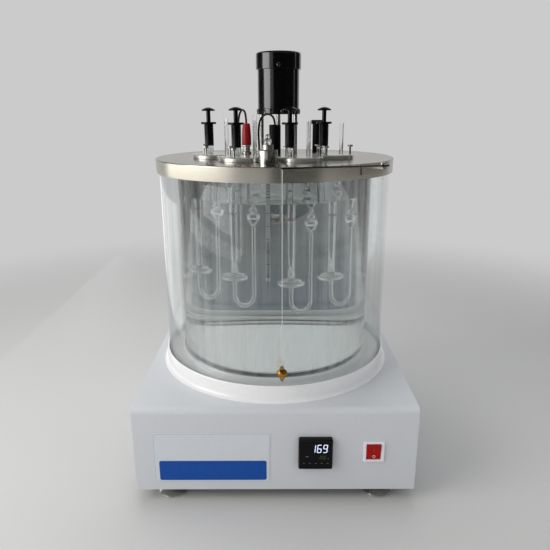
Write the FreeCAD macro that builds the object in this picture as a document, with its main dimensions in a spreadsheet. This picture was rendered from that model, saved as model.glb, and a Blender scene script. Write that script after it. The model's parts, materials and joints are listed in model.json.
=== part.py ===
import FreeCAD, Part
import math
import os
import re

import Sketcher

# Kinematic viscosity bath on a bench: a sheet metal base with a temperature controller carries a
# glass jar of water inside a clear outer cylinder. The lid holds the stirrer motor, the heater, the
# sensor, the thermometer and four viscometers with their suction pumps, and a plumb line hangs in front.
# Millimetres, +Z up, the front towards -Y. The origin is on the bench under the middle of the base.

# Driving dimensions
SIZES = {
    # base cabinet
    "cabinet_width": 400,
    "cabinet_depth": 400,
    "cabinet_height": 130,
    "cabinet_sheet": 1.5,
    "cabinet_bend": 9,
    "bottom_sheet": 2,
    "bottom_clearance": 0.5,
    # levelling feet
    "foot_height": 20,
    "foot_diameter": 42,
    "foot_rim": 3,
    "foot_dome": 10,
    "foot_neck_diameter": 16,
    "foot_stud_diameter": 10,
    "foot_stud_reach": 40,
    "foot_inset_x": 48,
    "foot_inset_y": 26,
    "foot_nut_size": 9,
    "foot_nut_height": 8,
    "thread_clearance": 0.3,
    # collar and seat on top of the cabinet
    "collar_height": 24.5,
    "collar_wall": 3,
    "collar_clearance": 0.5,
    "collar_foot_flare": 5,
    "collar_foot_edge": 1,
    "seat_height": 14,
    "seat_curb_height": 10,
    "seat_curb_width": 5,
    "seat_recess": 4,
    "seat_clearance": 0.4,
    # outer cylinder and glass jar
    "cylinder_diameter": 353.6,
    "cylinder_wall": 3,
    "cylinder_height": 324,
    "jar_diameter": 300,
    "jar_wall": 4,
    "jar_floor": 7,
    "jar_headroom": 6,
    "jar_corner": 9,
    "jar_clearance": 0.4,
    # lid
    "lid_diameter": 362.6,
    "lid_sheet": 2,
    "lid_skirt": 20,
    "lid_skirt_sheet": 1.5,
    "lid_edge_radius": 1.2,
    # viscometer stations, angles from the front towards the right
    "station_circle": 93,
    "station_angle_1": -74,
    "station_angle_2": -29,
    "station_angle_3": 22.5,
    "station_angle_4": 65,
    "limb_shift_1": 5,
    "limb_shift_2": 5,
    "limb_shift_3": -1,
    "limb_shift_4": 1.5,
    "tube_reach_1": 57,
    "tube_reach_2": 62,
    "tube_reach_3": 54,
    "tube_reach_4": 50,
    "station_hole_diameter": 54,
    "station_hole_shift": -4.9,
    "holder_diameter": 66,
    "holder_thickness": 6,
    "holder_edge": 1,
    "limb_clearance": 0.3,
    # thumb screws of the holders
    "screw_circle": 29,
    "screw_shank": 3,
    "screw_height": 10,
    "screw_head_diameter": 8,
    "screw_head_height": 3,
    "screw_head_edge": 0.6,
    "screw_first_angle": 100,
    # glass viscometers
    "limb_spacing": 26,
    "wide_limb_diameter": 11,
    "thin_limb_diameter": 6.2,
    "glass_wall": 1.1,
    "tube_length": 232,
    "wide_limb_drop": 43,
    "reservoir_diameter": 36,
    "reservoir_thickness": 11,
    "measuring_bulb_height": 88,
    "measuring_bulb_diameter": 16,
    "measuring_bulb_length": 24,
    "upper_bulb_gap": 9,
    "upper_bulb_diameter": 13,
    "upper_bulb_length": 20,
    "bend_depth": 26,
    "reservoir_rim": 1.2,
    "bulb_waist": 3,
    # suction pumps
    "adaptor_diameter": 12.8,
    "adaptor_height": 12,
    "barrel_diameter": 13.5,
    "barrel_height": 30.5,
    "barrel_bore": 10.5,
    "barrel_floor": 4,
    "adaptor_socket": 2,
    "barrel_flange_diameter": 22.4,
    "barrel_flange_height": 3.5,
    "plunger_rod_diameter": 6.5,
    "plunger_stroke": 15.5,
    "piston_height": 5,
    "piston_clearance": 0.3,
    "knob_diameter": 20,
    "knob_rim": 1.6,
    "knob_dome": 3.6,
    "suction_hole": 3,
    # stirrer and its motor
    "motor_x": 6.6,
    "motor_y": 8,
    "motor_post_height": 62.5,
    "motor_post_diameter": 6,
    "motor_post_circle": 29.4,
    "motor_flange_diameter": 67,
    "motor_flange_height": 8,
    "motor_flange_bore_gap": 1,
    "motor_body_diameter": 63,
    "motor_body_height": 56,
    "motor_cap_diameter": 68,
    "motor_cap_height": 24,
    "motor_edge": 3,
    "motor_screw_diameter": 5,
    "motor_screw_height": 2.4,
    "shaft_diameter": 6,
    "shaft_length": 214,
    "shaft_clearance": 0.08,
    "shaft_grip": 34,
    "shaft_end_gap": 1,
    "shaft_hole_diameter": 14,
    "impeller_diameter": 36,
    "impeller_hub_diameter": 12,
    "impeller_height": 10,
    "impeller_blade": 1.6,
    "impeller_blade_root": 1,
    # heater
    "heater_left_x": 1,
    "heater_left_y": -36,
    "heater_right_x": 66,
    "heater_right_y": 4,
    "heater_tube_diameter": 10,
    "heater_reach": 190,
    "heater_left_cap_diameter": 17,
    "heater_right_cap_diameter": 14,
    "heater_cap_height": 48,
    "heater_cap_recess": 1,
    "heater_cap_edge": 1,
    "heater_crown_diameter": 18,
    "heater_crown_height": 6,
    "heater_clearance": 0.3,
    # temperature sensor
    "sensor_x": -41,
    "sensor_y": -35,
    "sensor_diameter": 5,
    "sensor_reach": 150,
    "sensor_collar_diameter": 16,
    "sensor_collar_height": 6,
    "sensor_collar_edge": 1,
    "sensor_head_diameter": 14,
    "sensor_head_top_diameter": 10.5,
    "sensor_head_height": 44,
    # leads and their grommets
    "lead_diameter": 3,
    "grommet_diameter": 9,
    "grommet_height": 5,
    "heater_grommet_x": -23,
    "heater_grommet_y": -24,
    "sensor_grommet_x": -55,
    "sensor_grommet_y": -8,
    # thermometer
    "thermometer_x": -8.7,
    "thermometer_y": -111.5,
    "thermometer_collar_diameter": 26.8,
    "thermometer_collar_height": 17,
    "thermometer_clamp_diameter": 15,
    "thermometer_clamp_height": 6.5,
    "thermometer_stem_diameter": 6,
    "thermometer_reach": 187,
    "thermometer_knob_diameter": 10.6,
    "thermometer_knob_height": 14,
    "thermometer_knob_foot_diameter": 8.5,
    "thermometer_knob_belly": 4.2,
    "thermometer_knob_waist_diameter": 5.3,
    "thermometer_knob_waist": 8.7,
    "thermometer_knob_crown_diameter": 7.6,
    "thermometer_knob_crown": 11.9,
    "thermometer_bulb_length": 14,
    "thermometer_bulb_diameter": 4.8,
    "thermometer_shoulder": 4,
    "thermometer_tip_diameter": 3.6,
    "thermometer_tip_height": 1,
    "thermometer_clearance": 0.2,
    # plumb line
    "plumb_azimuth": -48.9,
    "pivot_reach": 28.5,
    "bracket_width": 7,
    "bracket_thickness": 3,
    "bracket_drop": 5,
    "bracket_pad_width": 13,
    "bracket_pad_height": 13,
    "bracket_pad_thickness": 2.5,
    "bracket_clearance": 0.2,
    "pivot_diameter": 4,
    "pivot_head_diameter": 6.4,
    "pivot_head_height": 2.6,
    "pivot_clearance": 0.08,
    "arm_length": 133.8,
    "arm_tail": 9,
    "arm_width": 3.2,
    "arm_thickness": 2.4,
    "arm_eye_diameter": 8,
    "arm_turn": 13.9,
    "thread_diameter": 1,
    "thread_length": 264,
    "arm_gap": 0.2,
    "thread_gap": 0.4,
    "bob_diameter": 14,
    "bob_neck_diameter": 5,
    "bob_neck_height": 4,
    "bob_shoulder": 8,
    "bob_length": 24,
    # controller, switch and nameplate on the front
    "controller_x": 56.5,
    "controller_z": 82.5,
    "controller_size": 48,
    "controller_proud": 8,
    "controller_bevel": 1.6,
    "controller_body_size": 44.6,
    "controller_body_depth": 72,
    "controller_window_size": 41,
    "controller_window_depth": 1.6,
    "cutout_clearance": 0.3,
    "switch_x": 138.5,
    "switch_z": 83,
    "switch_width": 29.6,
    "switch_height": 31,
    "switch_proud": 2.4,
    "switch_lip": 1,
    "switch_body_depth": 24,
    "rocker_clearance": 0.35,
    "rocker_width": 20,
    "rocker_height": 24.6,
    "rocker_axis_proud": 1,
    "rocker_swell": 3.2,
    "rocker_back": 6,
    "rocker_edge": 0.5,
    "switch_well": 14,
    "nameplate_x": -89.5,
    "nameplate_z": 72.5,
    "nameplate_width": 165,
    "nameplate_height": 80,
    "nameplate_thickness": 0.5,
    # mains inlet on the back
    "inlet_x": -120,
    "inlet_z": 70,
    "inlet_width": 50,
    "inlet_height": 31,
    "inlet_flange": 3,
    "inlet_body_width": 27,
    "inlet_body_height": 22,
    "inlet_body_depth": 24,
    "inlet_socket_width": 22,
    "inlet_socket_height": 17,
    "inlet_socket_depth": 17,
    "inlet_pin_width": 2,
    "inlet_pin_height": 4,
    "inlet_pin_pitch": 7,
    "inlet_pin_setback": 2,
    # power unit inside the cabinet
    "relay_length": 100,
    "relay_width": 80,
    "relay_base": 6,
    "relay_fin": 3,
    "relay_fin_height": 24,
    "relay_fins": 6,
    "relay_x": -40,
    "relay_y": 60,
}

# Radii of round stretches, as shares of the size that they round
LIP_ROUND = 0.51
DISH_ROUND = 0.86
DISH_RIM_ROUND = 1.4
BULB_ROUND = 0.8

# Levels and places that follow from the driving dimensions
DERIVED = {
    "cabinet_top": "foot_height + cabinet_height",
    "cabinet_front": "0 - cabinet_depth / 2",
    "jar_rest": "cabinet_top + seat_height + seat_recess",
    "jar_height": "cylinder_height - seat_height - seat_recess - jar_headroom",
    "lid_under": "cabinet_top + cylinder_height",
    "lid_top": "lid_under + lid_sheet",
    "cylinder_inside": "cylinder_diameter / 2 - cylinder_wall",
    "holder_top": "lid_top + holder_thickness",
    "motor_base": "lid_top + motor_post_height",
    "pivot_radius": "lid_diameter / 2 + pivot_reach",
    "arm_rest": "lid_top - bracket_drop + bracket_thickness + arm_gap",
    "inlet_face": "cabinet_depth / 2",
}

doc = FreeCAD.newDocument("viscosity_bath")
sheet = doc.addObject("Spreadsheet::Sheet", "sizes")
for row, (alias, size) in enumerate(SIZES.items(), start=1):
    sheet.set(f"A{row}", alias)
    sheet.set(f"B{row}", str(size))
    sheet.setAlias(f"B{row}", alias)
doc.recompute()

WORD = re.compile(r"[a-z][a-z_0-9]*")
SUBPARTS = []


def bound(text):
    """Write an expression of size names in the form that the document's objects take."""
    def name(match):
        word = match.group(0)
        if word in DERIVED:
            return "(" + bound(DERIVED[word]) + ")"
        return "sizes." + word if word in SIZES else word
    return WORD.sub(name, str(text))


def value(text):
    """Give the number of an expression of size names, in millimetres."""
    result = sheet.evalExpression(bound(text))
    return float(getattr(result, "Value", result))


def bind(item, settings):
    """Tie each named property of an object to its expression."""
    for prop, text in settings.items():
        item.setExpression(prop, bound(text))


def place(item, x="0", y="0", z="0", turn=0, axis=(0, 0, 1)):
    """Put an object at x, y, z, turned by an angle about an axis through that point."""
    item.Placement = FreeCAD.Placement(FreeCAD.Vector(), FreeCAD.Rotation(FreeCAD.Vector(*axis), turn))
    bind(item, {"Placement.Base.x": x, "Placement.Base.y": y, "Placement.Base.z": z})
    return item


def subpart(item, label):
    """Name a finished sub-part and keep it for the export."""
    item.Label = label
    SUBPARTS.append(item)
    return item


def new_body(label, x="0", y="0", z="0", turn=0):
    """Start a body that is a sub-part of its own."""
    body = doc.addObject("PartDesign::Body", label)
    place(body, x, y, z, turn)
    return subpart(body, label)


def origin_part(body, role):
    """Find one of a body's origin planes or axes."""
    return next(item for item in body.Origin.OriginFeatures if item.Role == role)


def arc_centre(start, end, radius, side):
    """Find the centre of a round edge that bulges to the left (1) or the right (-1) of its way."""
    way = end - start
    left = FreeCAD.Vector(-way.y, way.x, 0)
    left.normalize()
    reach = math.sqrt(max(radius * radius - way.Length * way.Length / 4, 0))
    return (start + end) * 0.5 - left * (side * reach)


def outline(body, name, plane, points, lift="0", shift="0"):
    """Sketch a closed outline. A point is (x, y), or (x, y, radius, side) where a round edge leaves it."""
    sketch = body.newObject("Sketcher::SketchObject", name)
    sketch.AttachmentSupport = [(origin_part(body, plane), "")]
    sketch.MapMode = "FlatFace"
    bind(sketch, {"AttachmentOffset.Base.x": shift, "AttachmentOffset.Base.z": lift})
    spots = [FreeCAD.Vector(value(point[0]), value(point[1]), 0) for point in points]
    ends = []
    for index, point in enumerate(points):
        start, end = spots[index], spots[(index + 1) % len(points)]
        if len(point) == 2:
            sketch.addGeometry(Part.LineSegment(start, end))
            ends.append((1, 2))
            continue
        radius, side = value(point[2]), point[3]
        centre = arc_centre(start, end, radius, side)
        turn = [math.atan2(spot.y - centre.y, spot.x - centre.x) for spot in (start, end)]
        if side > 0:
            turn.reverse()
        base = Part.Circle(centre, FreeCAD.Vector(0, 0, 1), radius)
        sketch.addGeometry(Part.ArcOfCircle(base, turn[0], turn[1]))
        ends.append((2, 1) if side > 0 else (1, 2))
    for index, point in enumerate(points):
        following = (index + 1) % len(points)
        sketch.addConstraint(Sketcher.Constraint("Coincident", index, ends[index][1],
                                                 following, ends[following][0]))
    for index, point in enumerate(points):
        corner = (("DistanceX", point[0], spots[index].x), ("DistanceY", point[1], spots[index].y))
        for kind, text, size in corner:
            row = sketch.addConstraint(Sketcher.Constraint(kind, -1, 1, index, ends[index][0], size))
            sketch.setExpression(f"Constraints[{row}]", bound(text))
        if len(point) > 2:
            row = sketch.addConstraint(Sketcher.Constraint("Radius", index, value(point[2])))
            sketch.setExpression(f"Constraints[{row}]", bound(point[2]))
    return sketch


def circles(body, name, rounds, lift="0", shift="0"):
    """Sketch circles, each (x, y, radius), on a body's level plane."""
    sketch = body.newObject("Sketcher::SketchObject", name)
    sketch.AttachmentSupport = [(origin_part(body, "XY_Plane"), "")]
    sketch.MapMode = "FlatFace"
    bind(sketch, {"AttachmentOffset.Base.x": shift, "AttachmentOffset.Base.z": lift})
    for index, (x, y, radius) in enumerate(rounds):
        centre = FreeCAD.Vector(value(x), value(y), 0)
        sketch.addGeometry(Part.Circle(centre, FreeCAD.Vector(0, 0, 1), value(radius)))
        for kind, text in (("DistanceX", x), ("DistanceY", y)):
            row = sketch.addConstraint(Sketcher.Constraint(kind, -1, 1, index, 3, value(text)))
            sketch.setExpression(f"Constraints[{row}]", bound(text))
        row = sketch.addConstraint(Sketcher.Constraint("Radius", index, value(radius)))
        sketch.setExpression(f"Constraints[{row}]", bound(radius))
    return sketch


def turned(body, name, points, shift="0", cut=False):
    """Turn an outline about the upright line through its sketch, as a solid or as a groove."""
    kind = "PartDesign::Groove" if cut else "PartDesign::Revolution"
    sketch = outline(body, name + "_outline", "XZ_Plane", points, shift=shift)
    feature = body.newObject(kind, name)
    feature.Profile = sketch
    feature.ReferenceAxis = (sketch, ["V_Axis"])
    feature.Angle = 360
    sketch.Visibility = False
    return feature


def padded(body, name, sketch, length, cut=False, both=False):
    """Give a sketch a length, as a solid, or as a pocket that runs back from the sketch."""
    feature = body.newObject("PartDesign::Pocket" if cut else "PartDesign::Pad", name)
    feature.Profile = sketch
    bind(feature, {"Length": length})
    if both:
        feature.SideType = "Symmetric"
    return feature


def rectangle(x, y, width, height):
    """List the corners of a rectangle about x, y."""
    left, right = f"({x}) - ({width}) / 2", f"({x}) + ({width}) / 2"
    low, high = f"({y}) - ({height}) / 2", f"({y}) + ({height}) / 2"
    return [(left, low), (right, low), (right, high), (left, high)]


def edges_where(feature, test):
    """Name the edges of a feature whose middle passes a test."""
    names = []
    for number, edge in enumerate(feature.Shape.Edges, start=1):
        box = edge.BoundBox
        if test(edge, box.Center):
            names.append(f"Edge{number}")
    return names


def rounded(body, name, base, edges, radius, kind="Fillet"):
    """Round or bevel the named edges of a feature."""
    feature = body.newObject("PartDesign::" + kind, name)
    feature.Base = (base, edges)
    bind(feature, {"Radius" if kind == "Fillet" else "Size": radius})
    return feature


def cylinder(name, radius, height, x="0", y="0", z="0", turn=0, axis=(0, 0, 1)):
    """Make a plain round bar."""
    bar = doc.addObject("Part::Cylinder", name)
    bind(bar, {"Radius": radius, "Height": height})
    return place(bar, x, y, z, turn, axis)


def joined(label, solids):
    """Group separate solids in one sub-part."""
    group = doc.addObject("Part::Compound", label)
    group.Links = solids
    return subpart(group, label)


def station_place(number):
    """Give the x and y expressions of a viscometer station's centre."""
    angle = f"station_angle_{number} * 1deg"
    return f"station_circle * sin({angle})", f"0 - station_circle * cos({angle})"


# Base cabinet: one folded and welded shell, open below
cabinet = new_body("base_cabinet", z="foot_height")
cabinet_side = padded(cabinet, "cabinet_block",
                      outline(cabinet, "cabinet_plan", "XY_Plane",
                              rectangle("0", "0", "cabinet_width", "cabinet_depth")), "cabinet_height")
doc.recompute()
long_folds = edges_where(cabinet_side, lambda edge, middle: middle.z > value("cabinet_height") - 0.1
                         and abs(middle.x) < 0.1)
folded = rounded(cabinet, "cabinet_folds", cabinet_side, long_folds, "cabinet_bend")
doc.recompute()
hollow = outline(cabinet, "cabinet_hollow_outline", "YZ_Plane",
                 [("cabinet_sheet - cabinet_depth / 2", "0"),
                  ("cabinet_depth / 2 - cabinet_sheet", "0"),
                  ("cabinet_depth / 2 - cabinet_sheet", "cabinet_height - cabinet_bend"),
                  ("cabinet_depth / 2 - cabinet_bend", "cabinet_height - cabinet_sheet"),
                  ("cabinet_bend - cabinet_depth / 2", "cabinet_height - cabinet_sheet"),
                  ("cabinet_sheet - cabinet_depth / 2", "cabinet_height - cabinet_bend")])
padded(cabinet, "cabinet_hollow", hollow, "cabinet_width - 2 * cabinet_sheet", cut=True, both=True)
front_cuts = outline(cabinet, "controller_cutout", "XZ_Plane",
                     rectangle("controller_x", "controller_z - foot_height",
                               "controller_body_size + 2 * cutout_clearance",
                               "controller_body_size + 2 * cutout_clearance"),
                     lift="cabinet_depth / 2 - 2 * cabinet_sheet")
padded(cabinet, "controller_opening", front_cuts, "3 * cabinet_sheet", cut=True).Reversed = True
switch_cut = outline(cabinet, "switch_cutout", "XZ_Plane",
                     rectangle("switch_x", "switch_z - foot_height",
                               "switch_width - 2 * switch_lip + 2 * cutout_clearance",
                               "switch_height - 2 * switch_lip + 2 * cutout_clearance"),
                     lift="cabinet_depth / 2 - 2 * cabinet_sheet")
padded(cabinet, "switch_opening", switch_cut, "3 * cabinet_sheet", cut=True).Reversed = True
inlet_cut = outline(cabinet, "inlet_cutout", "XZ_Plane",
                    rectangle("inlet_x", "inlet_z - foot_height",
                              "inlet_body_width + 2 * cutout_clearance",
                              "inlet_body_height + 2 * cutout_clearance"),
                    lift="2 * cabinet_sheet - cabinet_depth / 2")
padded(cabinet, "inlet_opening", inlet_cut, "3 * cabinet_sheet", cut=True)

# Bottom plate, held up by the nuts of the feet
bottom = new_body("bottom_plate", z="foot_height")
padded(bottom, "bottom_sheet_metal",
       outline(bottom, "bottom_plan", "XY_Plane",
               rectangle("0", "0", "cabinet_width - 2 * cabinet_sheet - 2 * bottom_clearance",
                         "cabinet_depth - 2 * cabinet_sheet - 2 * bottom_clearance")), "bottom_sheet")
foot_x = "cabinet_width / 2 - foot_inset_x"
foot_y = "cabinet_depth / 2 - foot_inset_y"
FEET = [(sx, sy) for sy in (-1, 1) for sx in (-1, 1)]
foot_places = [(f"{sx} * ({foot_x})", f"{sy} * ({foot_y})") for sx, sy in FEET]
stud_holes = circles(bottom, "stud_hole_outline",
                     [(x, y, "foot_stud_diameter / 2 + thread_clearance") for x, y in foot_places],
                     lift="bottom_sheet")
padded(bottom, "stud_holes", stud_holes, "bottom_sheet", cut=True)

# Levelling feet with a domed pad and a stud, and the nuts inside
nuts = []
for number, (x, y) in enumerate(foot_places, start=1):
    foot = new_body(f"levelling_foot_{number}", x, y)
    turned(foot, "foot", [
        ("0", "0"),
        ("foot_diameter / 2", "0"),
        ("foot_diameter / 2", "foot_rim", "foot_diameter", -1),
        ("foot_neck_diameter / 2", "foot_dome"),
        ("foot_neck_diameter / 2", "foot_height - thread_clearance"),
        ("foot_stud_diameter / 2", "foot_height - thread_clearance"),
        ("foot_stud_diameter / 2", "foot_height + foot_stud_reach"),
        ("0", "foot_height + foot_stud_reach")])
    nut = doc.addObject("Part::Prism", f"foot_nut_blank_{number}")
    nut.Polygon = 6
    bind(nut, {"Circumradius": "foot_nut_size", "Height": "foot_nut_height"})
    place(nut, x, y, "foot_height + bottom_sheet")
    bore = cylinder(f"foot_nut_bore_{number}", "foot_stud_diameter / 2 + thread_clearance",
                    "foot_nut_height + 2 * bottom_sheet", x, y, "foot_height")
    threaded = doc.addObject("Part::Cut", f"foot_nut_{number}")
    threaded.Base, threaded.Tool = nut, bore
    nuts.append(threaded)
joined("foot_nuts", nuts)

# Collar round the foot of the outer cylinder, with a flared foot
collar = new_body("bath_collar", z="cabinet_top")
collar_in = "cylinder_diameter / 2 + collar_clearance"
turned(collar, "collar", [
    (collar_in, "0"),
    (f"{collar_in} + collar_wall + collar_foot_flare", "0"),
    (f"{collar_in} + collar_wall + collar_foot_flare", "collar_foot_edge", "collar_foot_flare", 1),
    (f"{collar_in} + collar_wall", "collar_foot_flare + collar_foot_edge"),
    (f"{collar_in} + collar_wall", "collar_height - collar_wall / 2", f"collar_wall * {LIP_ROUND}", -1),
    (collar_in, "collar_height - collar_wall / 2")])

# Seat inside the collar: a raised disc with a curb that centres the jar
seat = new_body("jar_seat", z="cabinet_top")
curb_in = "jar_diameter / 2 + jar_clearance"
turned(seat, "seat", [
    ("0", "0"),
    ("cylinder_inside - seat_clearance", "0"),
    ("cylinder_inside - seat_clearance", "seat_height"),
    (f"{curb_in} + seat_curb_width", "seat_height"),
    (f"{curb_in} + seat_curb_width", "seat_height + seat_curb_height - seat_curb_width / 2",
     f"seat_curb_width * {LIP_ROUND}", -1),
    (curb_in, "seat_height + seat_curb_height - seat_curb_width / 2"),
    (curb_in, "seat_height + seat_recess"),
    ("0", "seat_height + seat_recess")])

# Clear outer cylinder
shell = new_body("outer_cylinder", z="cabinet_top")
turned(shell, "shell", [
    ("cylinder_inside", "0"),
    ("cylinder_diameter / 2", "0"),
    ("cylinder_diameter / 2", "cylinder_height"),
    ("cylinder_inside", "cylinder_height")])

# Glass jar with a rounded bottom corner
jar = new_body("glass_jar", z="jar_rest")
turned(jar, "jar", [
    ("0", "0"),
    ("jar_diameter / 2 - jar_corner", "0", "jar_corner", -1),
    ("jar_diameter / 2", "jar_corner"),
    ("jar_diameter / 2", "jar_height"),
    ("jar_diameter / 2 - jar_wall", "jar_height"),
    ("jar_diameter / 2 - jar_wall", "jar_floor + jar_corner", "jar_corner", 1),
    ("jar_diameter / 2 - jar_wall - jar_corner", "jar_floor"),
    ("0", "jar_floor")])

# Lid: a spun disc with a skirt, pierced for everything that it carries
lid = new_body("lid", z="lid_under - lid_skirt + lid_sheet")
disc = turned(lid, "lid_disc", [
    ("0", "lid_skirt - lid_sheet"),
    ("lid_diameter / 2 - lid_skirt_sheet", "lid_skirt - lid_sheet"),
    ("lid_diameter / 2 - lid_skirt_sheet", "0"),
    ("lid_diameter / 2", "0"),
    ("lid_diameter / 2", "lid_skirt - lid_edge_radius", "lid_edge_radius", -1),
    ("lid_diameter / 2 - lid_edge_radius", "lid_skirt"),
    ("0", "lid_skirt")])
lid_holes = [("motor_x", "motor_y", "shaft_hole_diameter / 2"),
             ("heater_left_x", "heater_left_y", "heater_tube_diameter / 2 + heater_clearance"),
             ("heater_right_x", "heater_right_y", "heater_tube_diameter / 2 + heater_clearance"),
             ("sensor_x", "sensor_y", "sensor_diameter / 2 + heater_clearance"),
             ("thermometer_x", "thermometer_y", "thermometer_stem_diameter / 2 + 2 * thermometer_clearance")]
for number in range(1, 5):
    x, y = station_place(number)
    lid_holes.append((f"{x} + limb_shift_{number} + station_hole_shift", y, "station_hole_diameter / 2"))
padded(lid, "lid_holes", circles(lid, "lid_hole_outline", lid_holes, lift="lid_skirt"),
       "lid_sheet", cut=True)

def wide_limb(inset, over):
    """Outline the wide limb and its flat reservoir, about the reservoir's middle, set in by a wall."""
    thin = f"thin_limb_diameter / 2 - {inset}"
    wide = f"wide_limb_diameter / 2 - {inset}"
    dish = f"reservoir_diameter / 2 - {inset}"
    half = f"reservoir_thickness / 2 - {inset}"
    return [("0", "0 - bend_depth"),
            (thin, "0 - bend_depth"),
            (thin, f"0 - ({half})", f"reservoir_diameter * {DISH_ROUND}", -1),
            (dish, "0 - reservoir_rim", f"reservoir_rim * {DISH_RIM_ROUND}", -1),
            (dish, "reservoir_rim", f"reservoir_diameter * {DISH_ROUND}", -1),
            (wide, half),
            (wide, f"tube_length - wide_limb_drop + {over}"),
            ("0", f"tube_length - wide_limb_drop + {over}")]


def thin_limb(inset, over):
    """Outline the thin limb and its two pointed bulbs, set in by a wall."""
    thin = f"thin_limb_diameter / 2 - {inset}"
    points = [("0", "0 - bend_depth"), (thin, "0 - bend_depth")]
    upper_bulb = "(measuring_bulb_height + (measuring_bulb_length + upper_bulb_length) / 2 + upper_bulb_gap)"
    for middle, kind in (("measuring_bulb_height", "measuring_bulb"), (upper_bulb, "upper_bulb")):
        wide = f"{kind}_diameter / 2 - {inset}"
        points += [(thin, f"{middle} - {kind}_length / 2"),
                   (wide, f"{middle} - bulb_waist / 2", f"bulb_waist * {BULB_ROUND}", -1),
                   (wide, f"{middle} + bulb_waist / 2"),
                   (thin, f"{middle} + {kind}_length / 2")]
    return points + [(thin, f"tube_length + {over}"), ("0", f"tube_length + {over}")]


# Four stations, each a holder plate with its thumb screws, viscometer and suction pump
for number in range(1, 5):
    x, y = station_place(number)
    wide_x = f"limb_shift_{number} - limb_spacing / 2"
    thin_x = f"limb_shift_{number} + limb_spacing / 2"

    plate = new_body(f"holder_plate_{number}", x, y, "lid_top")
    turned(plate, "plate", [
        ("0", "0"),
        ("holder_diameter / 2", "0"),
        ("holder_diameter / 2", "holder_thickness - holder_edge"),
        ("holder_diameter / 2 - holder_edge", "holder_thickness"),
        ("0", "holder_thickness")])
    padded(plate, "limb_holes", circles(plate, "limb_hole_outline", [
        (wide_x, "0", "wide_limb_diameter / 2 + limb_clearance"),
        (thin_x, "0", "thin_limb_diameter / 2 + limb_clearance")], lift="holder_thickness"),
        "holder_thickness", cut=True)

    screws = new_body(f"thumb_screws_{number}", x, y, "holder_top")
    screw_top = "screw_height + screw_head_height"
    screw = turned(screws, "thumb_screw", [
        ("0", "0"),
        ("screw_shank / 2", "0"),
        ("screw_shank / 2", "screw_height"),
        ("screw_head_diameter / 2", "screw_height + screw_head_edge"),
        ("screw_head_diameter / 2", f"{screw_top} - screw_head_edge"),
        ("screw_head_diameter / 2 - screw_head_edge", screw_top),
        ("0", screw_top)], shift="screw_circle")
    ring = screws.newObject("PartDesign::PolarPattern", "screw_ring")
    ring.Originals = [screw]
    ring.Axis = (origin_part(screws, "Z_Axis"), [""])
    ring.Angle = 360
    ring.Occurrences = 3
    screws.Tip = ring
    screws.Placement.Rotation = FreeCAD.Rotation(FreeCAD.Vector(0, 0, 1), SIZES["screw_first_angle"] - 90)

    glass = new_body(f"viscometer_{number}", x, y, f"lid_top + tube_reach_{number} - tube_length")
    for name, inset, over, cut in (("outside", "0", "0", False), ("bore", "glass_wall", "glass_wall", True)):
        turned(glass, f"wide_limb_{name}", wide_limb(inset, over), shift=wide_x, cut=cut)
        turned(glass, f"thin_limb_{name}", thin_limb(inset, over), shift=thin_x, cut=cut)
        bend_ring = circles(glass, f"bend_{name}_outline",
                            [("limb_spacing / 2", "0", f"thin_limb_diameter / 2 - {inset}")],
                            lift="0 - bend_depth", shift=f"limb_shift_{number}")
        bend = glass.newObject("PartDesign::Groove" if cut else "PartDesign::Revolution", f"bend_{name}")
        bend.Profile = bend_ring
        bend.ReferenceAxis = (bend_ring, ["V_Axis"])
        bend.Angle = 180

    barrel = new_body(f"suction_barrel_{number}", f"{x} + {wide_x}", y, "holder_top")
    barrel_end = "adaptor_height + barrel_height"
    socket_end = "adaptor_height + adaptor_socket"
    guide = "plunger_rod_diameter / 2 + shaft_clearance"
    turned(barrel, "barrel", [
        ("wide_limb_diameter / 2 + limb_clearance", "0"),
        ("adaptor_diameter / 2", "0"),
        ("adaptor_diameter / 2", "adaptor_height"),
        ("barrel_diameter / 2", "adaptor_height"),
        ("barrel_diameter / 2", barrel_end),
        ("barrel_flange_diameter / 2", barrel_end),
        ("barrel_flange_diameter / 2", f"{barrel_end} + barrel_flange_height"),
        (guide, f"{barrel_end} + barrel_flange_height"),
        (guide, barrel_end),
        ("barrel_bore / 2", barrel_end),
        ("barrel_bore / 2", f"{socket_end} + barrel_floor"),
        ("suction_hole / 2", f"{socket_end} + barrel_floor"),
        ("suction_hole / 2", socket_end),
        ("wide_limb_diameter / 2 + limb_clearance", socket_end)])

    plunger = new_body(f"suction_plunger_{number}", f"{x} + {wide_x}", y, "holder_top")
    piston = f"{barrel_end} - piston_clearance"
    knob = f"{barrel_end} + barrel_flange_height + plunger_stroke"
    turned(plunger, "plunger", [
        ("0", f"{piston} - piston_height"),
        ("barrel_bore / 2 - piston_clearance", f"{piston} - piston_height"),
        ("barrel_bore / 2 - piston_clearance", piston),
        ("plunger_rod_diameter / 2", piston),
        ("plunger_rod_diameter / 2", knob),
        ("knob_diameter / 2", knob),
        ("knob_diameter / 2", f"{knob} + knob_rim",
         "(knob_diameter * knob_diameter / 4 + knob_dome * knob_dome) / (2 * knob_dome)", -1),
        ("0", f"{knob} + knob_rim + knob_dome")])

# Motor on three posts, its cap and its screws
POST_ANGLES = (-30, 90, 210)
posts = []
for number, angle in enumerate(POST_ANGLES, start=1):
    turn = f"{angle} * 1deg"
    posts.append(cylinder(f"motor_post_{number}", "motor_post_diameter / 2", "motor_post_height",
                          f"motor_x + motor_post_circle * cos({turn})",
                          f"motor_y + motor_post_circle * sin({turn})", "lid_top"))
joined("motor_posts", posts)

flange = new_body("motor_flange", "motor_x", "motor_y", "motor_base")
turned(flange, "flange", [
    ("shaft_diameter / 2 + motor_flange_bore_gap", "0"),
    ("motor_flange_diameter / 2", "0"),
    ("motor_flange_diameter / 2", "motor_flange_height"),
    ("shaft_diameter / 2 + motor_flange_bore_gap", "motor_flange_height")])

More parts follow.
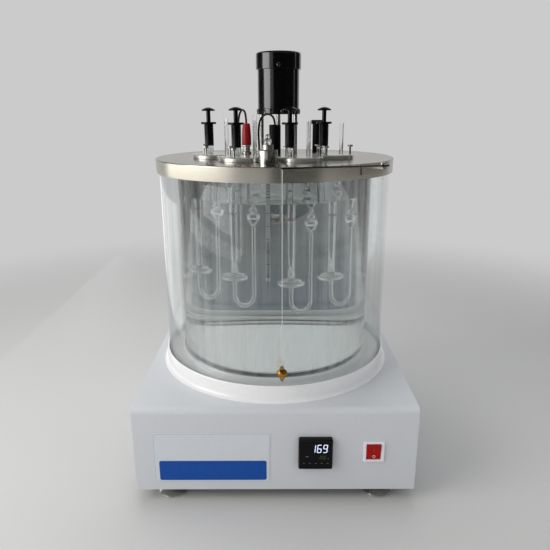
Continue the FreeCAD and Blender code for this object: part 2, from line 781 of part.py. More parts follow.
motor = new_body("motor_body", "motor_x", "motor_y", "motor_base + motor_flange_height")
turned(motor, "motor_barrel", [
    ("shaft_diameter / 2 + shaft_clearance", "0"),
    ("motor_body_diameter / 2", "0"),
    ("motor_body_diameter / 2", "motor_body_height"),
    ("0", "motor_body_height"),
    ("0", "shaft_grip"),
    ("shaft_diameter / 2 + shaft_clearance", "shaft_grip")])

cap = new_body("motor_cap", "motor_x", "motor_y", "motor_base + motor_flange_height + motor_body_height")
turned(cap, "cap", [
    ("0", "0"),
    ("motor_cap_diameter / 2", "0"),
    ("motor_cap_diameter / 2", "motor_cap_height - motor_edge", "motor_edge", -1),
    ("motor_cap_diameter / 2 - motor_edge", "motor_cap_height"),
    ("0", "motor_cap_height")])

# Round-headed screws in the sides of the flange and the cap, angles from the front
SIDE_SCREWS = ((-60, "motor_flange_diameter", "motor_base + motor_flange_height / 2"),
               (9, "motor_flange_diameter", "motor_base + motor_flange_height / 2"),
               (60, "motor_flange_diameter", "motor_base + motor_flange_height / 2"),
               (0, "motor_cap_diameter",
                "motor_base + motor_flange_height + motor_body_height + motor_screw_diameter"))
side_screws = []
for number, (angle, across, height) in enumerate(SIDE_SCREWS, start=1):
    side_screws.append(cylinder(f"motor_screw_{number}", "motor_screw_diameter / 2", "motor_screw_height",
                                f"motor_x + {across} / 2 * sin({angle} * 1deg)",
                                f"motor_y - {across} / 2 * cos({angle} * 1deg)", height,
                                90, (math.cos(math.radians(angle)), math.sin(math.radians(angle)), 0)))
joined("motor_screws", side_screws)

# Stirrer
shaft_top = "motor_base + motor_flange_height + shaft_grip - shaft_end_gap"
shaft = cylinder("shaft_bar", "shaft_diameter / 2", "shaft_length", "motor_x", "motor_y",
                 f"{shaft_top} - shaft_length")
subpart(shaft, "stirrer_shaft")
impeller = new_body("impeller", "motor_x", "motor_y", f"{shaft_top} - shaft_length")
turned(impeller, "hub", [
    ("shaft_diameter / 2 + shaft_clearance", "0"),
    ("impeller_hub_diameter / 2", "0"),
    ("impeller_hub_diameter / 2", "impeller_height"),
    ("shaft_diameter / 2 + shaft_clearance", "impeller_height")])
blade_reach = "(impeller_diameter / 2 - impeller_hub_diameter / 2 + impeller_blade_root)"
blade = padded(impeller, "blade", outline(
    impeller, "blade_plan", "XY_Plane",
    rectangle(f"impeller_diameter / 2 - {blade_reach} / 2", "0", blade_reach, "impeller_blade")),
    "impeller_height")
blades = impeller.newObject("PartDesign::PolarPattern", "blades")
blades.Originals = [blade]
blades.Axis = (origin_part(impeller, "Z_Axis"), [""])
blades.Angle = 360
blades.Occurrences = 3
impeller.Tip = blades

# Heater: one tube bent to a U, with a cap on each end
leg_x = "heater_right_x - heater_left_x"
leg_y = "heater_right_y - heater_left_y"
leg_spacing = f"sqrt(({leg_x}) * ({leg_x}) + ({leg_y}) * ({leg_y}))"
heater_turn = math.degrees(math.atan2(value(leg_y), value(leg_x)))
heater = new_body("heater_tube", "heater_left_x", "heater_left_y", "lid_top", heater_turn)
leg_end = f"{leg_spacing} / 2 - heater_reach"
for name, shift in (("left_leg", "0"), ("right_leg", leg_spacing)):
    turned(heater, name, [
        ("0", leg_end), ("heater_tube_diameter / 2", leg_end),
        ("heater_tube_diameter / 2", "heater_clearance"), ("0", "heater_clearance")], shift=shift)
heater_ring = circles(heater, "heater_bend_outline",
                      [(f"{leg_spacing} / 2", "0", "heater_tube_diameter / 2")],
                      lift=leg_end, shift=f"{leg_spacing} / 2")
heater_bend = heater.newObject("PartDesign::Revolution", "heater_bend")
heater_bend.Profile = heater_ring
heater_bend.ReferenceAxis = (heater_ring, ["V_Axis"])
heater_bend.Angle = 180

left_cap = new_body("heater_cap_left", "heater_left_x", "heater_left_y", "lid_top")
turned(left_cap, "left_cap", [
    ("0", "heater_clearance"),
    ("heater_tube_diameter / 2 + heater_cap_recess", "heater_clearance"),
    ("heater_tube_diameter / 2 + heater_cap_recess", "0"),
    ("heater_left_cap_diameter / 2", "0"),
    ("heater_left_cap_diameter / 2", "heater_cap_height - heater_cap_edge"),
    ("heater_left_cap_diameter / 2 - heater_cap_edge", "heater_cap_height"),
    ("0", "heater_cap_height")])
right_cap = new_body("heater_cap_right", "heater_right_x", "heater_right_y", "lid_top")
turned(right_cap, "right_cap", [
    ("0", "heater_clearance"),
    ("heater_tube_diameter / 2 + heater_cap_recess", "heater_clearance"),
    ("heater_tube_diameter / 2 + heater_cap_recess", "0"),
    ("heater_right_cap_diameter / 2", "0"),
    ("heater_right_cap_diameter / 2", "heater_cap_height"),
    ("heater_crown_diameter / 2", "heater_cap_height"),
    ("heater_crown_diameter / 2", "heater_cap_height + heater_crown_height"),
    ("0", "heater_cap_height + heater_crown_height")])

# Temperature sensor: a steel sheath, and its red sleeved head over a collar
sensor_top = "lid_top + sensor_collar_height"
probe = new_body("sensor_probe", "sensor_x", "sensor_y", "lid_top")
turned(probe, "probe", [
    ("0", "0 - sensor_reach"),
    ("sensor_diameter / 2", "0 - sensor_reach"),
    ("sensor_diameter / 2", "0"),
    ("sensor_collar_diameter / 2", "0"),
    ("sensor_collar_diameter / 2", "sensor_collar_height - sensor_collar_edge"),
    ("sensor_head_diameter / 2", "sensor_collar_height"),
    ("0", "sensor_collar_height")])
head = new_body("sensor_head", "sensor_x", "sensor_y", sensor_top)
turned(head, "head", [
    ("0", "0"),
    ("sensor_head_diameter / 2", "0"),
    ("sensor_head_top_diameter / 2", "sensor_head_height"),
    ("0", "sensor_head_height")])

# Grommets where the two leads go into the lid
grommets = []
for kind in ("heater", "sensor"):
    grommets.append(cylinder(f"{kind}_grommet", "grommet_diameter / 2", "grommet_height",
                             f"{kind}_grommet_x", f"{kind}_grommet_y", "lid_top"))
joined("lead_grommets", grommets)

# Thermometer in its collar
thermometer_collar = new_body("thermometer_collar", "thermometer_x", "thermometer_y", "lid_top")
stem_hole = "thermometer_stem_diameter / 2 + thermometer_clearance"
clamp_top = "thermometer_collar_height + thermometer_clamp_height"
turned(thermometer_collar, "collar_ring", [
    (stem_hole, "0"),
    ("thermometer_collar_diameter / 2", "0"),
    ("thermometer_collar_diameter / 2", "thermometer_collar_height - holder_edge"),
    ("thermometer_collar_diameter / 2 - holder_edge", "thermometer_collar_height"),
    ("thermometer_clamp_diameter / 2", "thermometer_collar_height"),
    ("thermometer_clamp_diameter / 2", clamp_top),
    (stem_hole, clamp_top)])
thermometer = new_body("thermometer", "thermometer_x", "thermometer_y", "lid_top")
knob_foot = f"{clamp_top} + thermometer_clearance"
turned(thermometer, "stem", [
    ("0", "0 - thermometer_reach"),
    ("thermometer_tip_diameter / 2", "thermometer_tip_height - thermometer_reach"),
    ("thermometer_bulb_diameter / 2", "thermometer_bulb_length - thermometer_reach"),
    ("thermometer_stem_diameter / 2", "thermometer_bulb_length + thermometer_shoulder - thermometer_reach"),
    ("thermometer_stem_diameter / 2", knob_foot),
    ("thermometer_knob_foot_diameter / 2", knob_foot),
    ("thermometer_knob_diameter / 2", f"{knob_foot} + thermometer_knob_belly"),
    ("thermometer_knob_waist_diameter / 2", f"{knob_foot} + thermometer_knob_waist"),
    ("thermometer_knob_crown_diameter / 2", f"{knob_foot} + thermometer_knob_crown"),
    ("0", f"{knob_foot} + thermometer_knob_height")])

# Bracket on the skirt with an upright pivot, the swinging arm, and the plumb line at its tip
azimuth = "plumb_azimuth * 1deg"
bracket = new_body("plumb_bracket", z="lid_top - bracket_drop", turn=SIZES["plumb_azimuth"])
bracket_start = "lid_diameter / 2 + bracket_clearance"
bar_length = f"(pivot_radius + bracket_width / 2 - ({bracket_start}))"
padded(bracket, "bar", outline(bracket, "bar_plan", "XY_Plane", rectangle(
    f"{bracket_start} + {bar_length} / 2", "0", bar_length, "bracket_width")), "bracket_thickness")
pad_plan = outline(bracket, "pad_plan", "XY_Plane", rectangle(
    f"{bracket_start} + bracket_pad_thickness / 2", "0", "bracket_pad_thickness", "bracket_pad_width"),
    lift="bracket_thickness - bracket_pad_height")
padded(bracket, "pad", pad_plan, "bracket_pad_height")
pin_height = "(2 * arm_gap + arm_thickness)"
padded(bracket, "pivot", circles(bracket, "pivot_outline", [("pivot_radius", "0", "pivot_diameter / 2")],
                                 lift="bracket_thickness"), pin_height)
padded(bracket, "pivot_head", circles(bracket, "pivot_head_outline",
                                      [("pivot_radius", "0", "pivot_head_diameter / 2")],
                                      lift=f"bracket_thickness + {pin_height}"), "pivot_head_height")

pivot_x, pivot_y = f"pivot_radius * cos({azimuth})", f"pivot_radius * sin({azimuth})"
arm = new_body("plumb_arm", pivot_x, pivot_y, "arm_rest", 180 + SIZES["arm_turn"])
padded(arm, "arm_bar", outline(arm, "arm_plan", "XY_Plane", rectangle(
    "(arm_length - arm_tail) / 2", "0", "arm_length + arm_tail", "arm_width")), "arm_thickness")
padded(arm, "arm_eye", circles(arm, "arm_eye_outline", [("0", "0", "arm_eye_diameter / 2")]),
       "arm_thickness")
padded(arm, "pivot_hole", circles(arm, "pivot_hole_outline",
                                  [("0", "0", "pivot_diameter / 2 + pivot_clearance")],
                                  lift="arm_thickness"), "arm_thickness", cut=True)

line_x = f"{pivot_x} - arm_length * cos(arm_turn * 1deg) + arm_width / 2"
line_y = f"{pivot_y} - arm_length * sin(arm_turn * 1deg)"
thread_foot = "arm_rest - thread_gap - thread_length"
line = cylinder("thread_bar", "thread_diameter / 2", "thread_length", line_x, line_y, thread_foot)
subpart(line, "plumb_thread")
bob = new_body("plumb_bob", line_x, line_y, f"{thread_foot} - bob_length")
turned(bob, "bob", [
    ("0", "0"),
    ("bob_diameter / 2", "bob_length - bob_neck_height - bob_shoulder"),
    ("bob_diameter / 2", "bob_length - bob_neck_height - bob_shoulder / 2", "bob_shoulder", -1),
    ("bob_neck_diameter / 2", "bob_length - bob_neck_height"),
    ("bob_neck_diameter / 2", "bob_length"),
    ("0", "bob_length")])

# Temperature controller in the front, with its window
case = new_body("controller_case", "controller_x", "cabinet_front", "controller_z")
face = padded(case, "bezel", outline(case, "bezel_outline", "XZ_Plane",
                                     rectangle("0", "0", "controller_size", "controller_size")),
              "controller_proud")
doc.recompute()
front_edges = edges_where(face, lambda edge, middle: abs(middle.y + value("controller_proud")) < 0.01)
rounded(case, "bezel_bevel", face, front_edges, "controller_bevel", kind="Chamfer")
padded(case, "case_body", outline(case, "case_outline", "XZ_Plane",
                                  rectangle("0", "0", "controller_body_size", "controller_body_size")),
       "controller_body_depth").Reversed = True
window_recess = outline(case, "window_recess_outline", "XZ_Plane",
                        rectangle("0", "0", "controller_window_size", "controller_window_size"),
                        lift="controller_proud")
padded(case, "window_recess", window_recess, "controller_window_depth", cut=True)
window = new_body("controller_window", "controller_x", "cabinet_front - controller_proud", "controller_z")
padded(window, "window", outline(window, "window_outline", "XZ_Plane",
                                 rectangle("0", "0", "controller_window_size - 2 * cutout_clearance",
                                           "controller_window_size - 2 * cutout_clearance"),
                                 lift="0 - controller_window_depth"), "controller_window_depth")

# Mains switch: a bezel with a well, and the rocker in it
bezel = new_body("switch_bezel", "switch_x", "cabinet_front", "switch_z")
padded(bezel, "switch_frame", outline(bezel, "switch_frame_outline", "XZ_Plane",
                                      rectangle("0", "0", "switch_width", "switch_height")), "switch_proud")
padded(bezel, "switch_body", outline(bezel, "switch_body_outline", "XZ_Plane",
                                     rectangle("0", "0", "switch_width - 2 * switch_lip",
                                               "switch_height - 2 * switch_lip")),
       "switch_body_depth").Reversed = True
padded(bezel, "switch_well_cut", outline(bezel, "switch_well_outline", "XZ_Plane", rectangle(
    "0", "0", "rocker_width + 2 * rocker_clearance", "rocker_height + 2 * rocker_clearance"),
    lift="switch_proud"), "switch_well", cut=True)
rocker = new_body("switch_rocker", "switch_x", "cabinet_front - rocker_axis_proud", "switch_z")
padded(rocker, "rocker", outline(rocker, "rocker_side", "YZ_Plane", [
    ("rocker_back", "0 - rocker_height / 3"),
    ("rocker_back", "rocker_height / 3"),
    ("0", "rocker_height / 2"),
    ("0 - rocker_swell", "rocker_height / 2 - rocker_edge"),
    ("0 - rocker_swell / 2", "0"),
    ("0 - rocker_edge", "rocker_edge - rocker_height / 2"),
    ("0", "0 - rocker_height / 2")]), "rocker_width", both=True)

# Nameplate, a thin bare film on the front
film = new_body("nameplate", "nameplate_x", "cabinet_front", "nameplate_z")
padded(film, "film_sheet", outline(film, "film_outline", "XZ_Plane",
                              rectangle("0", "0", "nameplate_width", "nameplate_height")),
       "nameplate_thickness")

# Mains inlet in the back, with a socket and three pins
inlet = new_body("mains_inlet", "inlet_x", "inlet_face", "inlet_z")
padded(inlet, "inlet_flange_plate", outline(inlet, "inlet_flange_outline", "XZ_Plane", rectangle(
    "0", "0", "inlet_width", "inlet_height")), "inlet_flange").Reversed = True
padded(inlet, "inlet_body", outline(inlet, "inlet_body_outline", "XZ_Plane", rectangle(
    "0", "0", "inlet_body_width", "inlet_body_height")), "inlet_body_depth")
padded(inlet, "inlet_socket", outline(inlet, "inlet_socket_outline", "XZ_Plane", rectangle(
    "0", "0", "inlet_socket_width", "inlet_socket_height"), lift="0 - inlet_flange"),
    "inlet_socket_depth", cut=True).Reversed = True
PINS = (("0 - inlet_pin_pitch", "0 - inlet_pin_height"),
        ("0", "0"),
        ("inlet_pin_pitch", "0 - inlet_pin_height"))
for number, (x, z) in enumerate(PINS, start=1):
    padded(inlet, f"inlet_pin_{number}", outline(
        inlet, f"inlet_pin_outline_{number}", "XZ_Plane",
        rectangle(x, z, "inlet_pin_width", "inlet_pin_height"),
        lift="inlet_socket_depth - inlet_flange"), "inlet_socket_depth - inlet_pin_setback").Reversed = True

# Power unit with its heat sink, on the bottom plate
relay = new_body("power_unit", "relay_x", "relay_y", "foot_height + bottom_sheet")
padded(relay, "sink_base", outline(relay, "sink_plan", "XY_Plane",
                                   rectangle("0", "0", "relay_length", "relay_width")), "relay_base")
fin = padded(relay, "fin", outline(relay, "fin_plan", "XY_Plane", rectangle(
    "relay_fin / 2 - relay_length / 2", "0", "relay_fin", "relay_width"), lift="relay_base"),
    "relay_fin_height")
fins = relay.newObject("PartDesign::LinearPattern", "fins")
fins.Originals = [fin]
fins.Direction = (origin_part(relay, "X_Axis"), [""])
bind(fins, {"Length": "relay_length - relay_fin", "Occurrences": "relay_fins"})
relay.Tip = fins


def lead(label, points):
    """Make a lead as a tube along straight runs joined by tangent arcs, and print the arcs' radii."""
    spots = [FreeCAD.Vector(*(value(part) for part in point)) for point in points]
    edges, here, radii = [], spots[0], []
    for before, corner, after in zip(spots, spots[1:], spots[2:]):
        into, out = corner - before, after - corner
        half_turn = into.getAngle(out) / 2
        trim = 0.45 * min(into.Length, out.Length)
        radii.append(trim / math.tan(half_turn))
        into.normalize()
        out.normalize()
        start, end = corner - into * trim, corner + out * trim
        inward = (out - into).normalize()
        middle = corner + inward * (radii[-1] / math.cos(half_turn) - radii[-1])
        edges += [Part.LineSegment(here, start).toShape(), Part.Arc(start, middle, end).toShape()]
        here = end
    edges.append(Part.LineSegment(here, spots[-1]).toShape())
    path = Part.Wire(edges)
    radius = value("lead_diameter") / 2
    ring = Part.Wire(Part.Circle(spots[0], spots[1] - spots[0], radius).toShape())
    tube = doc.addObject("Part::Feature", label)
    tube.Shape = path.makePipeShell([ring], True, False)
    expected = math.pi * radius ** 2 * path.Length
    print(label, "length", round(path.Length, 1), "radii", [round(size, 1) for size in radii],
          "volume ratio", round(tube.Shape.Volume / expected, 4))
    return subpart(tube, label)


doc.recompute()
grommet_top = "lid_top + grommet_height"
lead("heater_lead", [
    ("heater_left_x", "heater_left_y", "lid_top + heater_cap_height"),
    ("heater_left_x - 0.6", "heater_left_y + 0.3", "lid_top + 56"),
    ("-5", "-33.5", "lid_top + 62.5"),
    ("-13", "-29.5", "lid_top + 63"),
    ("-20", "-26", "lid_top + 57"),
    ("-23", "-24.4", "lid_top + 47"),
    ("-23.8", "-23.6", "lid_top + 34"),
    ("-22.8", "-23.9", "lid_top + 20"),
    ("heater_grommet_x", "heater_grommet_y", grommet_top)])
lead("sensor_lead", [
    ("sensor_x", "sensor_y", f"{sensor_top} + sensor_head_height"),
    ("sensor_x - 0.4", "sensor_y + 1", "lid_top + 59"),
    ("-43.5", "-29", "lid_top + 67.5"),
    ("-48", "-21", "lid_top + 69.5"),
    ("-52", "-13.5", "lid_top + 64"),
    ("-54", "-9.5", "lid_top + 54"),
    ("-55.2", "-8", "lid_top + 42"),
    ("-54.6", "-8.4", "lid_top + 29"),
    ("-55.3", "-7.8", "lid_top + 17"),
    ("sensor_grommet_x", "sensor_grommet_y", grommet_top)])

# Check every object, then write each sub-part
doc.recompute()
for item in doc.Objects:
    if "Invalid" in item.State or "Error" in item.State:
        raise RuntimeError(f"{item.Label} did not build: {item.State}")
for item in SUBPARTS:
    if item.Shape.isNull() or not item.Shape.isValid() or not item.Shape.Solids:
        raise RuntimeError(f"{item.Label} has no valid solid")
os.makedirs("parts", exist_ok=True)
for item in SUBPARTS:
    item.Shape.exportStep(os.path.join("parts", item.Label + ".step"))
print(len(SUBPARTS), "sub-parts")
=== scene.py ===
"""Dress the kinematic viscosity bath: glassware, water, metal, enamel, controls, leads, lamps and camera."""

import json
import logging
import math
from collections.abc import Callable, Iterable
from dataclasses import dataclass
from enum import Enum
from functools import cache

import bmesh
import bpy
from mathutils import Matrix, Vector


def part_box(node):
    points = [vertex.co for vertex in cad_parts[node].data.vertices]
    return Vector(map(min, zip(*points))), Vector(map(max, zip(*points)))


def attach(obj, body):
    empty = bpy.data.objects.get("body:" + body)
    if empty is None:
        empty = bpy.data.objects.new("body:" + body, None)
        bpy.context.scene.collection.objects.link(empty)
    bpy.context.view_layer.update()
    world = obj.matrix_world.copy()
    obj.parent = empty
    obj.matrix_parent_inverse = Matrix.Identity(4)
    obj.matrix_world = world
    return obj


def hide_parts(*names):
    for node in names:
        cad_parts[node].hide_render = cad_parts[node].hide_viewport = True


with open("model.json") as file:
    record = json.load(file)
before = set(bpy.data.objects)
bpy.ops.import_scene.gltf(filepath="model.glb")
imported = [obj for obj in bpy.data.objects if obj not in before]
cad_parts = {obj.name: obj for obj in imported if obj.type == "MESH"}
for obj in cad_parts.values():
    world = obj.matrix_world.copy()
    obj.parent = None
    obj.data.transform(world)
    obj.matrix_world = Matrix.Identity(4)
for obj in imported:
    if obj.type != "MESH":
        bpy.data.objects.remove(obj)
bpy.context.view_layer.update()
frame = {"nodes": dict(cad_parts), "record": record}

Mesh = bmesh.types.BMesh
Socket = bpy.types.NodeSocket
Tree = bpy.types.NodeTree
Thing = bpy.types.Object
Pair = tuple[float, float]
Triple = tuple[float, float, float]
Profile = list[Pair]

LOG = logging.getLogger("viscosity_bath")
MM = 0.001
MERGE = 1e-6
# Edges that turn by more degrees than this are sharp: on most pieces, and on blown glass
SHARP = 32.0
ROUND = 60.0
MIDDLE = (0.0, 0.0)

# Levels that the glassware, the lid and the water share, in millimetres above the bench
LID_TOP = 476.0
CABINET_TOP = 150.0
JAR_REST = 168.0
WATER_LEVEL = 422.6
MENISCUS = 1.6
HOLDER_TOP = 482.0

# The part of a noise's range that nearly all of its values fall in
FLECK_BAND = (0.3, 0.7)
STREAK_BAND = (0.35, 0.65)


class Pattern(Enum):
    """How the fine pattern of a finish lies."""

    FLECK = "alike in every direction"
    SPUN = "in rings about an upright axis"
    DRAWN = "in streaks along one direction"


def linear(code: str) -> tuple[float, float, float, float]:
    """Turn an sRGB hex colour to linear light.

    Args:
        code: The colour as #rrggbb.

    Returns:
        Red, green, blue and a full alpha.
    """
    parts = [int(code[start:start + 2], 16) / 255 for start in (1, 3, 5)]
    return (*(part / 12.92 if part <= 0.04045 else ((part + 0.055) / 1.055) ** 2.4 for part in parts), 1.0)


def wire(tree: Tree, kind: str, inputs: dict | None = None, links: dict | None = None,
         out: int | str = 0, **settings) -> Socket | None:
    """Add a node, link it up and give one of its outputs.

    Args:
        tree: The node tree that takes the node.
        kind: The node's type, without the words ShaderNode.
        inputs: Values for the node's own sockets, by name or number.
        links: Sockets of other nodes that feed this node's sockets, by name or number.
        out: The number or name of the output.
        settings: Attributes of the node itself.

    Returns:
        The output, or None from a node that has none.
    """
    node = tree.nodes.new("ShaderNode" + kind)
    for name, setting in settings.items():
        setattr(node, name, setting)
    for socket, number in (inputs or {}).items():
        node.inputs[socket].default_value = number
    for socket, source in (links or {}).items():
        tree.links.new(source, node.inputs[socket])
    return node.outputs[out] if len(node.outputs) else None


def ranged(tree: Tree, source: Socket, start: Pair, end: Pair = (0.0, 1.0), **settings) -> Socket:
    """Map one range of a number to another.

    Args:
        tree: The node tree that takes the node.
        source: The number.
        start: The range that it comes in.
        end: The range that it goes out in.
        settings: Attributes of the node itself.

    Returns:
        The mapped number.
    """
    limits = {"From Min": start[0], "From Max": start[1], "To Min": end[0], "To Max": end[1]}
    return wire(tree, "MapRange", limits, {"Value": source}, **settings)


def node_material(name: str, surface: Callable[[Tree], Socket]) -> bpy.types.Material:
    """Make a node material.

    Args:
        name: The material's name.
        surface: Lays the nodes and gives the shader's output.

    Returns:
        The new material.
    """
    material = bpy.data.materials.new(name)
    material.use_nodes = True
    tree = material.node_tree
    tree.nodes.clear()
    wire(tree, "OutputMaterial", links={"Surface": surface(tree)})
    return material


def glowing(tone: str, strength: float) -> Callable[[Tree], Socket]:
    """Give the surface of a card that shines evenly.

    Args:
        tone: Its colour.
        strength: How bright it is.

    Returns:
        What lays the surface in a material's node tree.
    """
    return lambda tree: wire(tree, "Emission", {"Color": linear(tone), "Strength": strength})


@dataclass(frozen=True)
class Glaze:
    """What a face is made of. Each kind lays its own surface."""

    name: str

    def surface(self, tree: Tree) -> Socket:
        """Lay the nodes of the surface.

        Args:
            tree: The material's node tree.

        Returns:
            The shader's output.
        """
        raise NotImplementedError


@dataclass(frozen=True)
class Finish(Glaze):
    """An opaque surface: its colours, its gloss and the fine pattern that breaks them up."""

    light: str
    dark: str
    gloss: Pair
    metallic: float = 0.0
    pattern: Pattern = Pattern.FLECK
    grain_mm: float = 1.0
    stretch: Triple = (1.0, 1.0, 1.0)
    axis_mm: Pair = (0.0, 0.0)
    relief_mm: float = 0.01
    relief: float = 0.2
    coat: float = 0.0
    glow: float = 0.0
    specular: float = 0.5

    def pattern_vector(self, tree: Tree) -> Socket:
        """Scale and lay the object's own coordinates for the pattern.

        Args:
            tree: The material's node tree.

        Returns:
            The socket that carries the pattern's coordinates.
        """
        place = wire(tree, "TexCoord", out="Object")
        per_metre = 1.0 / (self.grain_mm * MM)
        if self.pattern is not Pattern.SPUN:
            scale = tuple(per_metre / part for part in self.stretch)
            return wire(tree, "Mapping", {"Scale": scale}, {"Vector": place})
        centre = (-self.axis_mm[0] * MM, -self.axis_mm[1] * MM, 0.0)
        moved = wire(tree, "Mapping", {"Location": centre}, {"Vector": place})
        x, y, height = wire(tree, "SeparateXYZ", links={0: moved}).node.outputs
        flat = wire(tree, "CombineXYZ", links={0: x, 1: y})
        reach = wire(tree, "VectorMath", links={0: flat}, out="Value", operation="LENGTH")
        turn = wire(tree, "Math", links={0: y, 1: x}, operation="ARCTAN2")
        parts = ((reach, per_metre), (turn, self.stretch[0]), (height, per_metre))
        return wire(tree, "CombineXYZ", links={
            axis: wire(tree, "Math", {1: factor}, {0: part}, operation="MULTIPLY")
            for axis, (part, factor) in enumerate(parts)})

    def surface(self, tree: Tree) -> Socket:
        """Lay the pattern, and let it break up the colour, the gloss and the relief.

        Args:
            tree: The material's node tree.

        Returns:
            The shader's output.
        """
        fleck = wire(tree, "TexNoise", {"Scale": 1.0, "Detail": 4.0, "Roughness": 0.6},
                     {"Vector": self.pattern_vector(tree)}, out="Fac")
        colour = wire(tree, "ValToRGB", links={"Fac": fleck})
        for element, place, code in zip(colour.node.color_ramp.elements, FLECK_BAND, (self.dark, self.light)):
            element.position, element.color = place, linear(code)
        bump = wire(tree, "Bump", {"Strength": self.relief, "Distance": self.relief_mm * MM},
                    {"Height": fleck})
        shine = {"Metallic": self.metallic, "Coat Weight": self.coat, "Coat Roughness": 0.05,
                 "Specular IOR Level": self.specular}
        if self.glow:
            shine |= {"Emission Color": linear(self.light), "Emission Strength": self.glow}
        return wire(tree, "BsdfPrincipled", shine, {
            "Base Color": colour, "Roughness": ranged(tree, fleck, FLECK_BAND, self.gloss), "Normal": bump})


@dataclass(frozen=True)
class Clear(Glaze):
    """A clear body that bends light. Lamps shine through it, so that what stands behind is lit."""

    tint: str
    ior: float
    gloss: float = 0.0
    wave_mm: float = 0.0
    wave_relief_mm: float = 0.0

    def surface(self, tree: Tree) -> Socket:
        """Lay the glass, with waves on it where it has them.

        Args:
            tree: The material's node tree.

        Returns:
            The shader's output.
        """
        waves = {}
        if self.wave_mm:
            swells = wire(tree, "TexNoise", {"Scale": 1.0 / (self.wave_mm * MM), "Detail": 1.5},
                          {"Vector": wire(tree, "TexCoord", out="Object")}, out="Fac")
            waves["Normal"] = wire(tree, "Bump", {"Strength": 1.0, "Distance": self.wave_relief_mm * MM},
                                   {"Height": swells})
        glass = wire(tree, "BsdfPrincipled", {"Base Color": linear(self.tint), "Roughness": self.gloss,
                                              "IOR": self.ior, "Transmission Weight": 1.0}, waves)
        passing = wire(tree, "BsdfTransparent", {"Color": linear(self.tint)})
        shadow = wire(tree, "LightPath", out="Is Shadow Ray")
        return wire(tree, "MixShader", links={0: shadow, 1: glass, 2: passing})


@dataclass(frozen=True)
class ThinClear(Glaze):
    """A thin clear wall that light passes straight, with a sheen that grows towards its edges."""

    tint: str
    facing: float = 0.04
    edge: float = 0.6
    streak_mm: Pair = (9.0, 260.0)
    uneven: Pair = (0.6, 1.5)

    def surface(self, tree: Tree) -> Socket:
        """Mix an uneven sheen with the open way through.

        Args:
            tree: The material's node tree.

        Returns:
            The shader's output.
        """
        turned_away = wire(tree, "LayerWeight", {"Blend": 0.25}, out="Facing")
        rising = ranged(tree, turned_away, (0.0, 1.0), (self.facing, self.edge))
        across, along = (1.0 / (part * MM) for part in self.streak_mm)
        laid = wire(tree, "Mapping", {"Scale": (across, across, along)},
                    {"Vector": wire(tree, "TexCoord", out="Object")})
        streaks = wire(tree, "TexNoise", {"Scale": 1.0, "Detail": 2.0}, {"Vector": laid}, out="Fac")
        share = wire(tree, "Math", links={0: rising, 1: ranged(tree, streaks, STREAK_BAND, self.uneven)},
                     operation="MULTIPLY", use_clamp=True)
        sheen = wire(tree, "BsdfPrincipled",
                     {"Base Color": linear(self.tint), "Roughness": 0.03, "Metallic": 1.0})
        passing = wire(tree, "BsdfTransparent", {"Color": linear(self.tint)})
        return wire(tree, "MixShader", links={0: share, 1: passing, 2: sheen})


class Passing(Glaze):
    """A face that light passes as if it weren't there."""

    def surface(self, tree: Tree) -> Socket:
        """Let all light through."""
        return wire(tree, "BsdfTransparent", {"Color": linear("#ffffff")})


# White polyester powder coat on folded sheet: even, semi-gloss, with a faint orange peel
POWDER_COAT = Finish("white_powder_coat", "#d9dce1", "#d4d7dd", (0.28, 0.36), grain_mm=2.4,
                     relief_mm=0.012, relief=0.25)
# The collar and the seat: a smoother white with a thin clear coat, its colour painted brighter than the
# cabinet's coat as a lit copy of it, a painted highlight that they catch
WHITE_ENAMEL_PAINTED_LIT = Finish("white_enamel_painted_lit", "#f6f6f7", "#f1f2f4", (0.18, 0.26), grain_mm=5.0,
                      relief=0.15, coat=0.3)
# Zinc-plated mild steel: dull grey with a cloudy spangle
ZINC = Finish("zinc_plated_steel", "#a9abac", "#919394", (0.35, 0.5), metallic=1.0, grain_mm=6.0)
# Stainless steel spun and ground in rings: fine rings that blur what it reflects
SPUN_STEEL = Finish("spun_stainless_steel", "#c0bcb2", "#b9b5aa", (0.2, 0.27), metallic=1.0,
                    pattern=Pattern.SPUN, grain_mm=0.9, stretch=(6.0, 1.0, 1.0), relief_mm=0.002, relief=0.08)
# Turned stainless bar, polished
STEEL_BAR = Finish("polished_stainless_bar", "#c6c5c1", "#b4b3af", (0.12, 0.2), metallic=1.0,
                   pattern=Pattern.DRAWN, grain_mm=0.8, stretch=(1.0, 1.0, 12.0), relief_mm=0.003)
# Chrome plate on turned brass: near mirror, with faint lapping marks
CHROME = Finish("chrome_plate", "#c2c1bd", "#b4b3af", (0.05, 0.12), metallic=1.0, grain_mm=3.0,
                relief_mm=0.004, relief=0.1)
# Stainless plate ground to a satin: its fine scratches scatter part of the light
SATIN_STEEL = Finish("satin_ground_steel", "#d4d2cc", "#c6c4be", (0.2, 0.27), metallic=0.72, grain_mm=1.5,
                     stretch=(8.0, 1.0, 1.0), relief_mm=0.002, relief=0.05)
# Nickel plate on the turned feet: bright, with a soft haze from the bath it was plated in
NICKEL = Finish("bright_nickel_plate", "#d3d2ce", "#c7c6c2", (0.1, 0.16), metallic=0.88, grain_mm=7.0,
                relief_mm=0.004, relief=0.05)
# Baked black enamel on the motor's steel shell, with fine vertical streaks from wiping
BLACK_ENAMEL = Finish("baked_black_enamel", "#070707", "#030303", (0.1, 0.2), pattern=Pattern.DRAWN,
                      grain_mm=1.2, stretch=(1.0, 1.0, 14.0), relief_mm=0.008, relief=0.3, coat=0.5)
# Black glass-filled moulding, matt
BLACK_MOULDING = Finish("black_moulded_plastic", "#0b0b0c", "#060607", (0.36, 0.48), grain_mm=0.8,
                        specular=0.12)
# Glossy black moulding of the pumps and the controller's frame
GLOSS_MOULDING = Finish("gloss_black_moulding", "#070708", "#040405", (0.08, 0.14), grain_mm=2.0,
                        relief_mm=0.006, specular=0.22)
